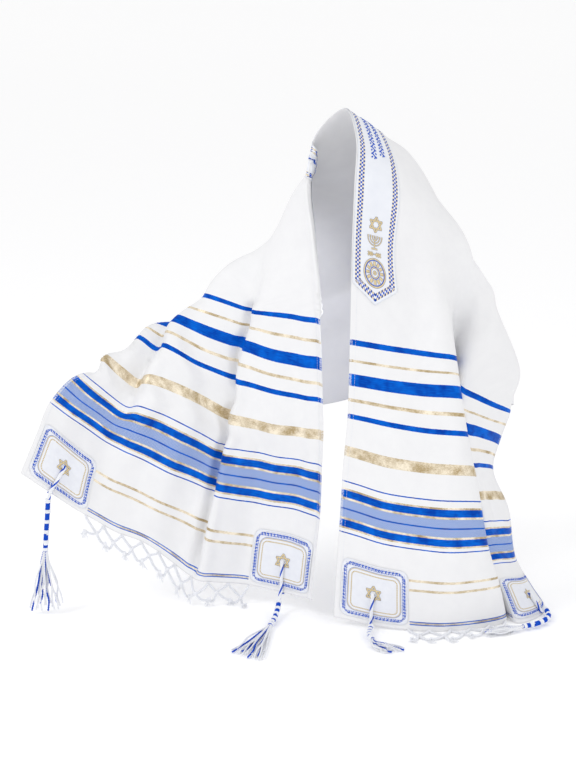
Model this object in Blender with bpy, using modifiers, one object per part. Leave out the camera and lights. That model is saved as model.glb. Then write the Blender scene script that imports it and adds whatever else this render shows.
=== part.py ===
"""A prayer shawl worn over the head: one long cloth, its neckband, four corner patches,
four corner tassels and the knotted fringe on each short end.

The shawl hangs as on a standing wearer who faces -Y, up is +Z, and the origin is the
crown of the hood, where the head carries the cloth.
"""
import math

import bmesh
import bpy
import numpy as np

MM = 0.001

# Driving sizes
CLOTH_LENGTH = 1.830
CLOTH_WIDTH = 0.600
CLOTH_WALL = 0.0015
SEAM_GAP = 0.0003
FLOOR = -0.922
FLOOR_GAP = 0.0006

BAND_HALF_LENGTH = 0.355
BAND_POINT = 0.028
BAND_EDGE = 0.002
BAND_WIDTH = 0.086
BAND_WALL = 0.0012

PATCH_LENGTH = 0.125
PATCH_HEIGHT = 0.105
PATCH_INSET = 0.010
PATCH_HEM_GAP = 0.009
PATCH_CUT = 0.012
PATCH_WALL = 0.0012
EYELET = 0.007

FRINGE_FROM = 0.135
FRINGE_STEPS = 18
FRINGE_STEP = 0.330 / FRINGE_STEPS
FRINGE_BACKING = 0.0055
FRINGE_KNOT_ROWS = (0.021, 0.038)
FRINGE_END = 0.050
FRINGE_STRAND = 0.0024
FRINGE_WALL = 0.0018
FRINGE_SPLAY = 0.12
FRINGE_GAP = 0.0022

CORD_RADIUS = 0.0016
WINDING_RADIUS = 0.0046
WINDING_STEPS = 10
STRAND_RADIUS = 0.0011
STRANDS = 8

# On the wearer's right the front margin, with the neckband on it, is turned in behind the
# front panel. It starts and ends at these distances along the cloth and eases in and out.
TURN_DEPTH = 0.098
TURN_FROM = -0.085
TURN_TO = -0.412
TURN_IN_EASE = 0.090
TURN_OUT_EASE = 0.056
TURN_GAP = 0.010

# The sections below are set out squarely to the opened front, which the wearer's left
# front corner faces, so they turn by this much about Z to the wearer's own frame.
FRONT_TURN = math.radians(45)

# The cloth's form, in millimetres. A row is one section across the cloth, from its front
# edge to its back edge, at a distance along the cloth from the crown: less than 0 on the
# wearer's right side, more than 0 on the left. Each point is (right, away, up). The points
# are the front edge, two in the front panel, its ridge, the tuck, two in the side panel,
# the side valley, two in the back panel and the back edge.
SECTIONS = [
    (-915, (-53, -38, -884), (-112, 8, -886), (-178, 42, -884), (-270, 28, -870),
     (-284, 40, -864), (-360, 30, -800), (-414, 25, -776), (-450, 20, -752),
     (-483, 14, -730), (-534, 6, -691), (-581, 0, -655)),
    (-830, (-45, -26, -815), (-101, 14, -807), (-165, 44, -804), (-245, 32, -786),
     (-255, 46, -778), (-336, 38, -734), (-400, 36, -702), (-432, 34, -686),
     (-470, 20, -654), (-510, 8, -614), (-547, 0, -575)),
    (-759, (-36, -12, -737), (-90, 24, -731), (-150, 50, -729), (-228, 40, -711),
     (-240, 56, -706), (-316, 46, -668), (-385, 38, -630), (-428, 44, -610),
     (-462, 30, -580), (-495, 18, -552), (-525, 10, -525)),
    (-670, (-33, -3, -640), (-85, 22, -636), (-142, 44, -632), (-206, 50, -622),
     (-217, 66, -623), (-295, 50, -574), (-367, 38, -540), (-390, 54, -546),
     (-418, 48, -524), (-444, 38, -499), (-467, 30, -476)),
    (-607, (-32, 0, -574), (-82, 15, -573), (-138, 31, -568), (-195, 50, -558),
     (-206, 70, -556), (-282, 56, -509), (-348, 50, -483), (-370, 80, -500),
     (-398, 70, -475), (-428, 66, -450), (-422, 92, -500)),
    (-555, (-33, 3, -522), (-79, 18, -519), (-132, 34, -511), (-185, 52, -500),
     (-197, 74, -498), (-262, 72, -470), (-326, 68, -434), (-340, 94, -448),
     (-372, 92, -424), (-384, 135, -465), (-370, 100, -530)),
    (-480, (-35, 6, -447), (-74, 22, -446), (-120, 38, -440), (-167, 54, -428),
     (-178, 76, -428), (-240, 82, -407), (-299, 90, -384), (-308, 118, -402),
     (-330, 128, -404), (-318, 200, -485), (-304, 118, -566)),
    (-410, (-38, 9, -371), (-72, 24, -370), (-112, 40, -367), (-154, 55, -366),
     (-165, 74, -367), (-245, 104, -345), (-252, 148, -358), (-248, 190, -395),
     (-242, 220, -455), (-238, 216, -535), (-237, 150, -590)),
    (-340, (-42, 10, -305), (-72, 26, -312), (-110, 43, -322), (-145, 60, -335),
     (-156, 82, -334), (-215, 112, -300), (-200, 156, -328), (-186, 202, -368),
     (-172, 232, -432), (-162, 232, -520), (-161, 180, -598)),
    (-250, (-52, 13, -215), (-70, 34, -222), (-92, 57, -230), (-114, 78, -240),
     (-124, 98, -240), (-130, 138, -252), (-108, 188, -280), (-86, 232, -325),
     (-72, 258, -400), (-65, 250, -495), (-69, 206, -588)),
    (-150, (-62, 16, -117), (-66, 40, -118), (-69, 63, -126), (-72, 88, -138),
     (-62, 118, -150), (-20, 150, -188), (10, 185, -232), (30, 212, -285),
     (42, 230, -370), (45, 232, -470), (35, 212, -566)),
    (-70, (-48, 18, -45), (-28, 52, -55), (5, 85, -75), (36, 114, -98),
     (60, 138, -135), (90, 172, -192), (104, 186, -248), (112, 197, -305),
     (118, 204, -370), (122, 208, -445), (123, 208, -522)),
    (0, (0, 0, 0), (38, 38, -29), (70, 70, -54), (110, 110, -84),
     (150, 150, -150), (172, 172, -232), (184, 184, -292), (191, 191, -342),
     (198, 198, -391), (204, 204, -440), (209, 209, -489)),
    (70, (18, -48, -45), (60, -12, -62), (98, 22, -88), (134, 58, -122),
     (182, 112, -188), (208, 138, -258), (222, 152, -315), (231, 161, -366),
     (240, 170, -416), (249, 180, -466), (257, 190, -516)),
    (150, (16, -60, -117), (68, -40, -132), (112, -15, -150), (150, 22, -178),
     (212, 85, -222), (243, 115, -290), (256, 122, -348), (262, 124, -398),
     (266, 124, -448), (266, 122, -497), (262, 120, -545)),
    (250, (13, -52, -215), (66, -30, -232), (114, -10, -250), (164, 10, -270),
     (222, 80, -286), (262, 112, -330), (288, 130, -380), (304, 138, -432),
     (316, 142, -485), (322, 144, -530), (325, 146, -565)),
    (340, (12, -43, -310), (68, -32, -325), (124, -16, -340), (180, 0, -355),
     (212, 100, -382), (248, 82, -408), (292, 102, -440), (322, 122, -478),
     (336, 148, -515), (326, 182, -550), (308, 205, -585)),
    (410, (11, -34, -399), (75, -26, -412), (138, -16, -424), (197, -5, -435),
     (202, 112, -478), (216, 30, -500), (248, 45, -520), (280, 65, -540),
     (305, 90, -556), (315, 108, -565), (317, 127, -573)),
    (480, (10, -32, -467), (76, -32, -478), (142, -24, -488), (206, -13, -495),
     (206, 102, -540), (222, 12, -567), (246, 32, -580), (266, 52, -592),
     (283, 76, -604), (292, 92, -612), (299, 108, -620)),
    (555, (8, -32, -541), (78, -42, -554), (148, -40, -567), (219, -25, -577),
     (222, 97, -618), (236, 0, -641), (252, 24, -649), (264, 44, -656),
     (274, 64, -663), (280, 80, -669), (285, 97, -676)),
    (640, (1, -36, -626), (80, -56, -644), (160, -62, -654), (238, -38, -665),
     (240, 70, -704), (252, 0, -718), (266, 19, -724), (278, 36, -730),
     (292, 54, -735), (304, 70, -741), (313, 86, -745)),
    (759, (-6, -46, -749), (80, -76, -765), (175, -92, -774), (260, -62, -781),
     (256, 40, -810), (272, -6, -826), (288, 2, -828), (302, 16, -832),
     (317, 34, -837), (328, 60, -844), (333, 98, -851)),
    (835, (-11, -56, -828), (80, -84, -842), (178, -98, -848), (282, -60, -850),
     (274, 30, -870), (294, -22, -871), (312, -14, -873), (328, -2, -877),
     (342, 18, -881), (352, 44, -887), (357, 82, -894)),
    (915, (-15, -64, -907), (82, -88, -918), (180, -98, -922), (300, -50, -922),
     (288, 14, -922), (317, -58, -921), (332, -54, -921), (350, -40, -921),
     (366, -20, -921), (378, 8, -922), (381, 48, -922)),
]

# The folds of the cloth lie along the columns above, so each column's points are joined
# along the cloth by one smooth line, and each section by one smooth curve across them.
SECTION_AT = np.array([row[0] for row in SECTIONS]) * MM
SECTION_POINTS = np.array([row[1:] for row in SECTIONS]) * MM
CURVE_STEPS = 240
DIFFERENCE = 0.002
SHARPEST = 0.2
LEVELLING_STEPS = 60

# The grid that carries the cloth's facets: columns that the band and the back margin
# need, and how many lines cross the hood and a wing.
BAND_LINES = [BAND_EDGE, BAND_EDGE + BAND_WIDTH / 2, BAND_EDGE + BAND_WIDTH]
TUCK_LINES = [0.500, 0.555]
HOOD_LINES = 10
WING_LINES = 15
BELOW_BAND = 0.045

# Each tassel hangs by a loop through its corner's eyelet, round the hem, into a wound
# head and then free strands. Routes are in the same millimetres as the sections.
TASSELS = {
    "right_front": {"side": -1, "hole": 0.0725, "hem": 0.067, "looped": True,
                    "head": [(-114, -7, -898), (-118, -32, -909), (-123, -56, -914),
                             (-130, -84, -915)],
                    "tips": [(-196, -190, -919), (-141, -233, -919)]},
    "right_back": {"side": -1, "hole": 0.5275, "hem": 0.540, "looped": True,
                   "head": [(-533, 0, -704), (-535, -3, -735), (-538, -6, -770),
                            (-540, -8, -800)],
                   "tips": [(-571, -14, -908), (-511, -14, -905)]},
    "left_front": {"side": 1, "hole": 0.0725, "hem": 0.068, "looped": True,
                   "head": [(51, -96, -912), (48, -114, -914), (47, -133, -914),
                            (51, -153, -914)],
                   "tips": [(106, -182, -919), (62, -198, -919)]},
    "left_back": {"side": 1, "hole": 0.5275, "hem": 0.535, "looped": False,
                  "head": [(376, -8, -913), (378, -34, -914), (368, -60, -914),
                           (348, -80, -914), (324, -92, -914)],
                  "tips": [(262, -106, -915), (258, -122, -915)]},
}

# The fringe runs the whole way between the patches on the right. On the left it runs to
# the front ridge, because the rest is shut inside the tuck. There it lies on the floor:
# across the cloth, and the way its strands point in degrees right of straight forward.
FRINGE_RUN = {"right": FRINGE_STEPS, "left": 10}
LEFT_FRINGE_LIE = [(0.135, 2), (0.250, 6), (0.318, 8)]


def smooth_rows(stations, rows, where):
    """Rows of numbers read between their stations on a curve that never turns sharply."""
    stations = np.asarray(stations, float)
    rows = np.asarray(rows, float)
    gaps = np.diff(stations)
    flat = (-1,) + (1,) * (rows.ndim - 1)
    rises = np.diff(rows, axis=0) / gaps.reshape(flat)
    slopes = np.empty_like(rows)
    slopes[0] = rises[0]
    slopes[-1] = rises[-1]
    before = gaps[:-1].reshape(flat)
    after = gaps[1:].reshape(flat)
    slopes[1:-1] = (rises[:-1] * after + rises[1:] * before) / (before + after)
    where = np.atleast_1d(np.asarray(where, float))
    i = np.clip(np.searchsorted(stations, where, side="right") - 1, 0, len(gaps) - 1)
    gap = gaps[i].reshape(flat)
    f = ((where - stations[i]) / gaps[i]).reshape(flat)
    return ((2 * f**3 - 3 * f**2 + 1) * rows[i] + (f**3 - 2 * f**2 + f) * gap * slopes[i]
            + (3 * f**2 - 2 * f**3) * rows[i + 1] + (f**3 - f**2) * gap * slopes[i + 1])


def eased(share):
    """0 to 1 with a soft start and a soft end."""
    share = np.clip(share, 0.0, 1.0)
    return share * share * (3 - 2 * share)


def turned_in(along):
    """How much of the front margin is turned in at a distance along the cloth."""
    return (TURN_DEPTH * eased((TURN_FROM - along) / TURN_IN_EASE)
            * eased((along - TURN_TO) / TURN_OUT_EASE))


def section(along):
    """The section at a distance along the cloth: widths from its edge, and points."""
    across_points = smooth_rows(SECTION_AT, SECTION_POINTS, along)[0]
    spans = np.sqrt(np.linalg.norm(np.diff(across_points, axis=0), axis=1))
    knots = np.concatenate([[0.0], np.cumsum(spans)])
    curve = smooth_rows(knots, across_points, np.linspace(0, knots[-1], CURVE_STEPS + 1))
    steps = np.linalg.norm(np.diff(curve, axis=0), axis=1)
    widths = np.concatenate([[0.0], np.cumsum(steps)])
    return widths / widths[-1] * (CLOTH_WIDTH - turned_in(along)), curve


SECTION_CACHE = {}


def panel_point(along, from_edge):
    """A point of the outer face, by its distance from the edge that shows."""
    key = round(along, 6)
    if key not in SECTION_CACHE:
        SECTION_CACHE[key] = section(key)
    widths, curve = SECTION_CACHE[key]
    return np.array([np.interp(from_edge, widths, curve[:, axis]) for axis in range(3)])


def cloth_point(along, across):
    """A point of the cloth's outer face, by its distances along and across the cloth."""
    turn = turned_in(along)
    from_edge = abs(across - turn)
    point = panel_point(along, from_edge)
    if across >= turn:
        return point
    down = panel_point(along + DIFFERENCE, from_edge) - panel_point(along - DIFFERENCE,
                                                                    from_edge)
    over = panel_point(along, from_edge + DIFFERENCE) - point
    out = np.cross(down, over)
    rounded = 1 - min(1.0, from_edge / TURN_GAP)
    return point - out / np.linalg.norm(out) * TURN_GAP * math.sqrt(1 - rounded**2)


def across_lines():
    """The grid's lines along the cloth, as distances from the front edge."""
    patch = [PATCH_INSET, PATCH_INSET + PATCH_CUT,
             PATCH_INSET + (PATCH_LENGTH - EYELET) / 2,
             PATCH_INSET + (PATCH_LENGTH + EYELET) / 2,
             PATCH_INSET + PATCH_LENGTH - PATCH_CUT, PATCH_INSET + PATCH_LENGTH]
    lines = patch + [0.0, TURN_DEPTH] + BAND_LINES
    lines += [CLOTH_WIDTH - line for line in patch] + TUCK_LINES + [CLOTH_WIDTH]
    lines += [FRINGE_FROM + FRINGE_STEP * step for step in range(FRINGE_STEPS + 1)]
    return sorted({round(line, 6) for line in lines})


def along_lines():
    """The grid's lines across the cloth, as distances from the crown on one side."""
    shoulder = BAND_HALF_LENGTH - BAND_POINT
    hem = CLOTH_LENGTH / 2
    top = hem - PATCH_HEM_GAP - PATCH_HEIGHT
    lines = list(np.linspace(0, shoulder, HOOD_LINES))
    lines += list(np.linspace(shoulder + BELOW_BAND, top, WING_LINES))
    lines += [top + PATCH_CUT, top + (PATCH_HEIGHT - EYELET) / 2,
              top + (PATCH_HEIGHT + EYELET) / 2, top + PATCH_HEIGHT - PATCH_CUT,
              top + PATCH_HEIGHT, hem]
    return [round(line, 6) for line in lines]


def turn_lines():
    """Lines where the turned edge passes from one of the grid's columns to the next."""
    halfway = (TURN_FROM - TURN_IN_EASE + TURN_TO + TURN_OUT_EASE) / 2
    columns = [line for line in across_lines() if line < TURN_DEPTH] + [TURN_DEPTH * 0.999]
    lines = []
    for end in (TURN_FROM, TURN_TO):
        places = np.linspace(end, halfway, CURVE_STEPS)
        lines += list(np.interp(columns, turned_in(places), places))
    return [round(line, 6) for line in lines]


def band_end(across):
    """How far from the crown the pointed end of the neckband reaches at this width."""
    from_middle = abs(across - BAND_EDGE - BAND_WIDTH / 2)
    return BAND_HALF_LENGTH - BAND_POINT * min(1.0, from_middle / (BAND_WIDTH / 2))


class ClothGrid:
    """The points of the cloth's outer face on a grid, and the way out at each of them."""

    def __init__(self):
        half = along_lines()
        shoulder = round(BAND_HALF_LENGTH - BAND_POINT, 6)
        self.across = across_lines()
        spare = [line for line in half if turned_in(-line) in (0.0, TURN_DEPTH)]
        spare += [line for line in half if line == shoulder and line not in spare]
        right = {-line for line in spare} | set(turn_lines())
        self.along = sorted(right | set(half))
        self.places = np.zeros((len(self.along), len(self.across), 2))
        self.points = np.zeros((len(self.along), len(self.across), 3))
        for i, along in enumerate(self.along):
            for j, across in enumerate(self.across):
                place = along
                if abs(along) == shoulder:
                    place = math.copysign(band_end(across), along)
                self.places[i, j] = (place, across)
                self.points[i, j] = cloth_point(place, across)
        self.splits = {cell: self.better_split(*cell) for cell in all_cells(self)}
        self.splits.update(corner_cells(self))
        self.out = self.ways_out()

    def ways_out(self):
        """At each point, how far it moves so that the facets round it move out by one."""
        around = {}
        for cell in all_cells(self):
            for triangle in cell_triangles(self, cell):
                a, b, c = [self.points[key] for key in triangle]
                way = np.cross(b - a, c - a)
                way /= np.linalg.norm(way)
                for key in triangle:
                    around.setdefault(key, []).append(way)
        out = np.zeros_like(self.points)
        for key, ways in around.items():
            ways = np.array(ways)
            mean = ways.sum(axis=0)
            for _ in range(LEVELLING_STEPS):
                mean /= np.linalg.norm(mean)
                mean += ways[np.argmin(ways @ mean)] * 0.05
            mean /= np.linalg.norm(mean)
            out[key] = mean / max(SHARPEST, (ways @ mean).min())
        return out

    def better_split(self, i, j):
        """The corner a cell is split across, for the diagonal nearest the true cloth."""
        middle = cloth_point(*self.places[i:i + 2, j:j + 2].mean(axis=(0, 1)))
        rising = (self.points[i, j] + self.points[i + 1, j + 1]) / 2
        falling = (self.points[i + 1, j] + self.points[i, j + 1]) / 2
        if np.linalg.norm(rising - middle) <= np.linalg.norm(falling - middle):
            return 1
        return 0

    def i(self, along):
        return int(np.argmin(np.abs(np.array(self.along) - along)))

    def j(self, across):
        return int(np.argmin(np.abs(np.array(self.across) - across)))

    def hem_point(self, side, across, up_from_hem):
        """A point on the faceted face near a hem, and the way out there."""
        last = len(self.along) - 1
        rows = (last, last - 1) if side > 0 else (0, 1)
        f = up_from_hem / PATCH_HEM_GAP
        found = []
        for values in (self.points, self.out):
            ends = [np.array([np.interp(across, self.across, values[row, :, axis])
                              for axis in range(3)]) for row in rows]
            found.append(ends[0] * (1 - f) + ends[1] * f)
        return found


def patch_ranges(side, front):
    """The grid range of a corner patch: side -1 or 1, front True or False."""
    hem = CLOTH_LENGTH / 2
    low = hem - PATCH_HEM_GAP - PATCH_HEIGHT
    high = hem - PATCH_HEM_GAP
    alongs = (low, high) if side > 0 else (-high, -low)
    acrosses = (PATCH_INSET, PATCH_INSET + PATCH_LENGTH)
    if not front:
        acrosses = (CLOTH_WIDTH - acrosses[1], CLOTH_WIDTH - acrosses[0])
    return alongs, acrosses


def cell_corners(grid, alongs, acrosses):
    """First and last cells of a range in each direction."""
    return grid.i(alongs[0]), grid.i(alongs[1]) - 1, grid.j(acrosses[0]), grid.j(acrosses[1]) - 1


def corner_cells(grid):
    """Patch corner cells: which corner of the cell the rounded patch leaves out."""
    left_out = {}
    for side in (-1, 1):
        for front in (True, False):
            i0, i1, j0, j1 = cell_corners(grid, *patch_ranges(side, front))
            left_out.update({(i0, j0): 0, (i1, j0): 1, (i1, j1): 2, (i0, j1): 3})
    return left_out


def eyelet_cells(grid):
    """The cells that the four eyelets leave open."""
    cells = set()
    for side in (-1, 1):
        for front in (True, False):
            alongs, acrosses = patch_ranges(side, front)
            low = sum(alongs) / 2 - EYELET / 2
            start = sum(acrosses) / 2 - EYELET / 2
            cells.add((grid.i(low), grid.j(start)))
    return cells


def cell_triangles(grid, cell):
    """Two triangles of a cell; the first leaves out the corner the cell is split across."""
    i, j = cell
    corners = [(i, j), (i + 1, j), (i + 1, j + 1), (i, j + 1)]
    first = (grid.splits[cell] + 1) % 4
    a, b, c, d = [corners[(first + step) % 4] for step in range(4)]
    return [(a, b, c), (a, c, d)]


def surface(triangles, grid, raised):
    """A mesh of the grid's triangles, its points moved out from the cloth by a distance."""
    mesh = bpy.data.meshes.new("surface")
    shell = bmesh.new()
    made = {}
    for triangle in triangles:
        for key in triangle:
            if key not in made:
                made[key] = shell.verts.new(grid.points[key] + grid.out[key] * raised)
        shell.faces.new([made[key] for key in triangle])
    shell.to_mesh(mesh)
    shell.free()
    return mesh


def add_part(name, mesh, material):
    part = bpy.data.objects.new(name, mesh)
    mesh.materials.append(material)
    shawl.objects.link(part)
    part.parent = stand
    return part


def thicken(part, wall, way):
    """Gives an open surface its wall: way 1 outwards, -1 inwards."""
    solid = part.modifiers.new("wall", "SOLIDIFY")
    solid.thickness = wall
    solid.offset = way


def all_cells(grid):
    return [(i, j) for i in range(len(grid.along) - 1) for j in range(len(grid.across) - 1)]


def make_cloth(grid, material):
    holes = eyelet_cells(grid)
    triangles = []
    for cell in all_cells(grid):
        if cell not in holes:
            triangles += cell_triangles(grid, cell)
    part = add_part("shawl_cloth", surface(triangles, grid, 0.0), material)
    thicken(part, CLOTH_WALL, -1)


def make_neckband(grid, material):
    """The band lies along the front edge over the head, with a point at each end."""
    shoulder = BAND_HALF_LENGTH - BAND_POINT
    i0, i1, j0, j1 = cell_corners(grid, (-shoulder, shoulder),
                                  (BAND_EDGE, BAND_EDGE + BAND_WIDTH))
    triangles = []
    for i in range(i0, i1 + 1):
        for j in range(j0, j1 + 1):
            triangles += cell_triangles(grid, (i, j))
    part = add_part("neckband", surface(triangles, grid, SEAM_GAP), material)
    thicken(part, BAND_WALL, 1)


def make_patch(grid, side, front, name, material):
    i0, i1, j0, j1 = cell_corners(grid, *patch_ranges(side, front))
    corners = corner_cells(grid)
    holes = eyelet_cells(grid)
    triangles = []
    for i in range(i0, i1 + 1):
        for j in range(j0, j1 + 1):
            if (i, j) in holes:
                continue
            pair = cell_triangles(grid, (i, j))
            if (i, j) in corners:
                pair = pair[:1]
            triangles += pair
    part = add_part(name, surface(triangles, grid, SEAM_GAP), material)
    thicken(part, PATCH_WALL, 1)


NEARLY_STRAIGHT = 0.15


def ribbon_net(nodes, ribbons):
    """A flat net: nodes are points, ribbons join them as (node, node, width).

    Each node becomes a small plate whose corners are where the ribbons' sides cross.
    """
    around = {key: [] for key in nodes}
    for index, (start, end, width) in enumerate(ribbons):
        for here, there in ((start, end), (end, start)):
            step = np.subtract(nodes[there], nodes[here])
            around[here].append((math.atan2(step[1], step[0]), index, width))
    points = []
    faces = []
    sides = {}
    for key, ways in around.items():
        ways.sort()
        plate = []
        for (angle, index, width), (after, next_index, next_width) in zip(
                ways, ways[1:] + ways[:1]):
            turn = (after - angle) % math.tau
            corner = np.array(nodes[key], float)
            if len(ways) == 1:
                plate += [corner_beside(corner, angle, width / 2),
                          corner_beside(corner, angle, -width / 2)]
            elif abs(math.sin(turn)) < NEARLY_STRAIGHT:
                mean = (width + next_width) / 4
                plate.append(corner_beside(corner, angle, mean))
            else:
                reach = (width / 2 * math.cos(turn) + next_width / 2) / math.sin(turn)
                ahead = np.array([math.cos(angle), math.sin(angle)]) * reach
                plate.append(corner_beside(corner, angle, width / 2) + ahead)
        base = len(points)
        points += plate
        for order, (angle, index, width) in enumerate(ways):
            sides[key, index] = (base + order, base + (order - 1) % len(plate))
        if len(ways) > 2:
            faces.append([base + order for order in range(len(ways))])
    for index, (start, end, width) in enumerate(ribbons):
        left, right = sides[start, index]
        far_left, far_right = sides[end, index]
        faces.append([right, far_left, far_right, left])
    return points, faces


def corner_beside(point, angle, distance):
    """The point a distance to the left of a way out of a node."""
    return point + distance * np.array([-math.sin(angle), math.cos(angle)])


def fringe_layout(steps):
    """The knotted net between the patches, flat: across the cloth, and down from the hem."""
    nodes = {}
    ribbons = []
    first, second = FRINGE_KNOT_ROWS
    for step in range(steps + 1):
        across = FRINGE_FROM + FRINGE_STEP * step
        nodes["backing", step] = (across, -FRINGE_BACKING / 2)
        if step:
            ribbons.append((("backing", step - 1), ("backing", step), FRINGE_BACKING))
        if step % 2:
            nodes["knot", step] = (across, first)
        else:
            nodes["low knot", step] = (across, second)
            nodes["end", step] = (across + FRINGE_STEP * 0.2 * math.sin(step), FRINGE_END)
            ribbons.append((("low knot", step), ("end", step), FRINGE_STRAND))
    for step in range(1, steps, 2):
        for neighbour in (step - 1, step + 1):
            ribbons.append((("backing", neighbour), ("knot", step), FRINGE_STRAND))
            ribbons.append((("knot", step), ("low knot", neighbour), FRINGE_STRAND))
    return nodes, ribbons


def hanging_place(grid, side, across, down):
    """Where a point of the fringe lies: on the wall, hanging below it or out on the floor."""
    foot, out = grid.hem_point(side, across, max(0.0, -down))
    place = foot + out * FRINGE_GAP
    if down <= 0:
        return place
    ahead = np.array([out[0], out[1], 0.0])
    ahead /= np.linalg.norm(ahead)
    if side > 0:
        angle = math.radians(np.interp(across, *np.array(LEFT_FRINGE_LIE).T))
        ahead = np.array([math.sin(angle), -math.cos(angle), 0.0])
    room = max(0.0, place[2] - FLOOR - FLOOR_GAP)
    drop = min(down, room)
    place = place + ahead * (down - drop + drop * FRINGE_SPLAY)
    place[2] -= drop
    place[2] = max(place[2], FLOOR + FLOOR_GAP)
    return place


def make_fringe(grid, side, name, steps, material):
    flat, faces = ribbon_net(*fringe_layout(steps))
    mesh = bpy.data.meshes.new(name)
    net = bmesh.new()
    verts = [net.verts.new(hanging_place(grid, side, *point)) for point in flat]
    for face in faces:
        order = face if side < 0 else list(reversed(face))
        net.faces.new([verts[index] for index in order])
    bmesh.ops.triangulate(net, faces=net.faces[:])
    net.to_mesh(mesh)
    net.free()
    part = add_part(name, mesh, material)
    thicken(part, FRINGE_WALL, 1)


def tube(path, radius, resolution, radii=None, closed=False):
    """A tube along a path, as a closed mesh object."""
    curve = bpy.data.curves.new("tube", "CURVE")
    curve.dimensions = "3D"
    curve.bevel_depth = radius
    curve.bevel_resolution = resolution
    curve.use_fill_caps = not closed
    spline = curve.splines.new("POLY")
    spline.points.add(len(path) - 1)
    for index, place in enumerate(path):
        spline.points[index].co = (*place, 1.0)
        spline.points[index].radius = radii[index] if radii else 1.0
    spline.use_cyclic_u = closed
    guide = bpy.data.objects.new("tube", curve)
    shawl.objects.link(guide)
    graph = bpy.context.evaluated_depsgraph_get()
    mesh = bpy.data.meshes.new_from_object(guide.evaluated_get(graph))
    bpy.data.objects.remove(guide)
    bpy.data.curves.remove(curve)
    body = bmesh.new()
    body.from_mesh(mesh)
    bmesh.ops.remove_doubles(body, verts=body.verts[:], dist=0.00001)
    bmesh.ops.recalc_face_normals(body, faces=body.faces[:])
    body.to_mesh(mesh)
    body.free()
    solid = bpy.data.objects.new("tube", mesh)
    shawl.objects.link(solid)
    return solid


def united(pieces):
    """One mesh from overlapping closed pieces, which are used up."""
    body = pieces[0]
    for piece in pieces[1:]:
        join = body.modifiers.new("join", "BOOLEAN")
        join.operation = "UNION"
        join.solver = "EXACT"
        join.object = piece
        graph = bpy.context.evaluated_depsgraph_get()
        mesh = bpy.data.meshes.new_from_object(body.evaluated_get(graph))
        body.modifiers.clear()
        body.data = mesh
        bpy.data.objects.remove(piece)
    bpy.data.objects.remove(body)
    mesh.materials.clear()
    return mesh


def smooth_path(points, steps):
    """A smooth curve through a route's points, given in millimetres."""
    points = np.asarray(points, float) * MM
    spans = np.sqrt(np.linalg.norm(np.diff(points, axis=0), axis=1))
    knots = np.concatenate([[0.0], np.cumsum(spans)])
    return smooth_rows(knots, points, np.linspace(0, knots[-1], steps + 1))


def cord_path(side, hole_across, hem_across, head_top, looped):
    """The tassel's cord: out through the eyelet, down the face and round the hem.

    Where the hem stands on the floor the cord can't pass under it, and stops at the eyelet.
    """
    hem = CLOTH_LENGTH / 2
    eyelet = hem - PATCH_HEM_GAP - PATCH_HEIGHT / 2
    in_front = SEAM_GAP + PATCH_WALL + CORD_RADIUS + 0.0008
    behind = -CLOTH_WALL - CORD_RADIUS - 0.0008
    clear = 0.001
    small = 0.002
    stops = [(0.0, behind - clear), (0.0, in_front + clear)]
    if looped:
        stops = [(f, behind) for f in (1.06, 0.9, 0.65, 0.35, 0.14)] + stops
    stops += [(f, in_front) for f in (0.14, 0.35, 0.65, 0.9)]
    path = []
    for f, raised in stops:
        along = eyelet + (hem - eyelet) * min(f, 1.0)
        across = hole_across + (hem_across - hole_across) * min(f, 1.0)
        place = cloth_point(side * along, across)
        down = place - cloth_point(side * (along - small), across)
        over = cloth_point(side * along, across + small) - place
        out = np.cross(down, over) * side
        beyond = down / np.linalg.norm(down) * (hem - eyelet) * max(f - 1.0, 0.0)
        path.append(place + out / np.linalg.norm(out) * raised + beyond)
    path.append(np.asarray(head_top))
    return path


def make_tassel(corner, route, material):
    head = smooth_path(route["head"], WINDING_STEPS)
    knotted = [1.0 + (0.18 if step % 2 else 0.0) for step in range(WINDING_STEPS + 1)]
    pieces = [tube(head, WINDING_RADIUS, 1, knotted)]
    looped = route["looped"]
    cord = cord_path(route["side"], route["hole"], route["hem"],
                     head[0] + (head[1] - head[0]) * 0.4, looped)
    pieces.append(tube(cord, CORD_RADIUS, 1, closed=looped))
    ends = np.asarray(route["tips"], float) * MM
    root = head[-1] - (head[-1] - head[-2]) * 0.5
    ahead = (head[-1] - head[-2]) / np.linalg.norm(head[-1] - head[-2])
    beside = ends[1] - ends[0]
    beside /= np.linalg.norm(beside)
    for strand in range(STRANDS):
        share = strand / (STRANDS - 1)
        tip = ends[0] * (1 - share) + ends[1] * share
        tip = tip + ahead * 0.012 * math.sin(2.3 * strand)
        start = root + beside * (share - 0.5) * WINDING_RADIUS * 1.1
        bend = start + ahead * 0.02 + beside * (share - 0.5) * 0.010
        middle = (bend + tip) / 2 + beside * 0.004 * math.sin(1.7 * strand + 1)
        path = smooth_path(np.array([start, bend, middle, tip]) / MM, 7)
        pieces.append(tube(path, STRAND_RADIUS, 0))
    part = add_part("tassel_" + corner, united(pieces), material)
    return part


def paint(name, colour, roughness):
    material = bpy.data.materials.new(name)
    material.use_nodes = True
    shader = material.node_tree.nodes["Principled BSDF"]
    shader.inputs["Base Color"].default_value = (*colour, 1.0)
    shader.inputs["Roughness"].default_value = roughness
    shader.inputs["Metallic"].default_value = 0.0
    material.diffuse_color = (*colour, 1.0)
    return material


for old in list(bpy.data.objects):
    bpy.data.objects.remove(old)

shawl = bpy.data.collections.new("prayer_shawl")
bpy.context.scene.collection.children.link(shawl)
stand = bpy.data.objects.new("front_turn", None)
stand.rotation_euler = (0.0, 0.0, FRONT_TURN)
shawl.objects.link(stand)

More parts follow.
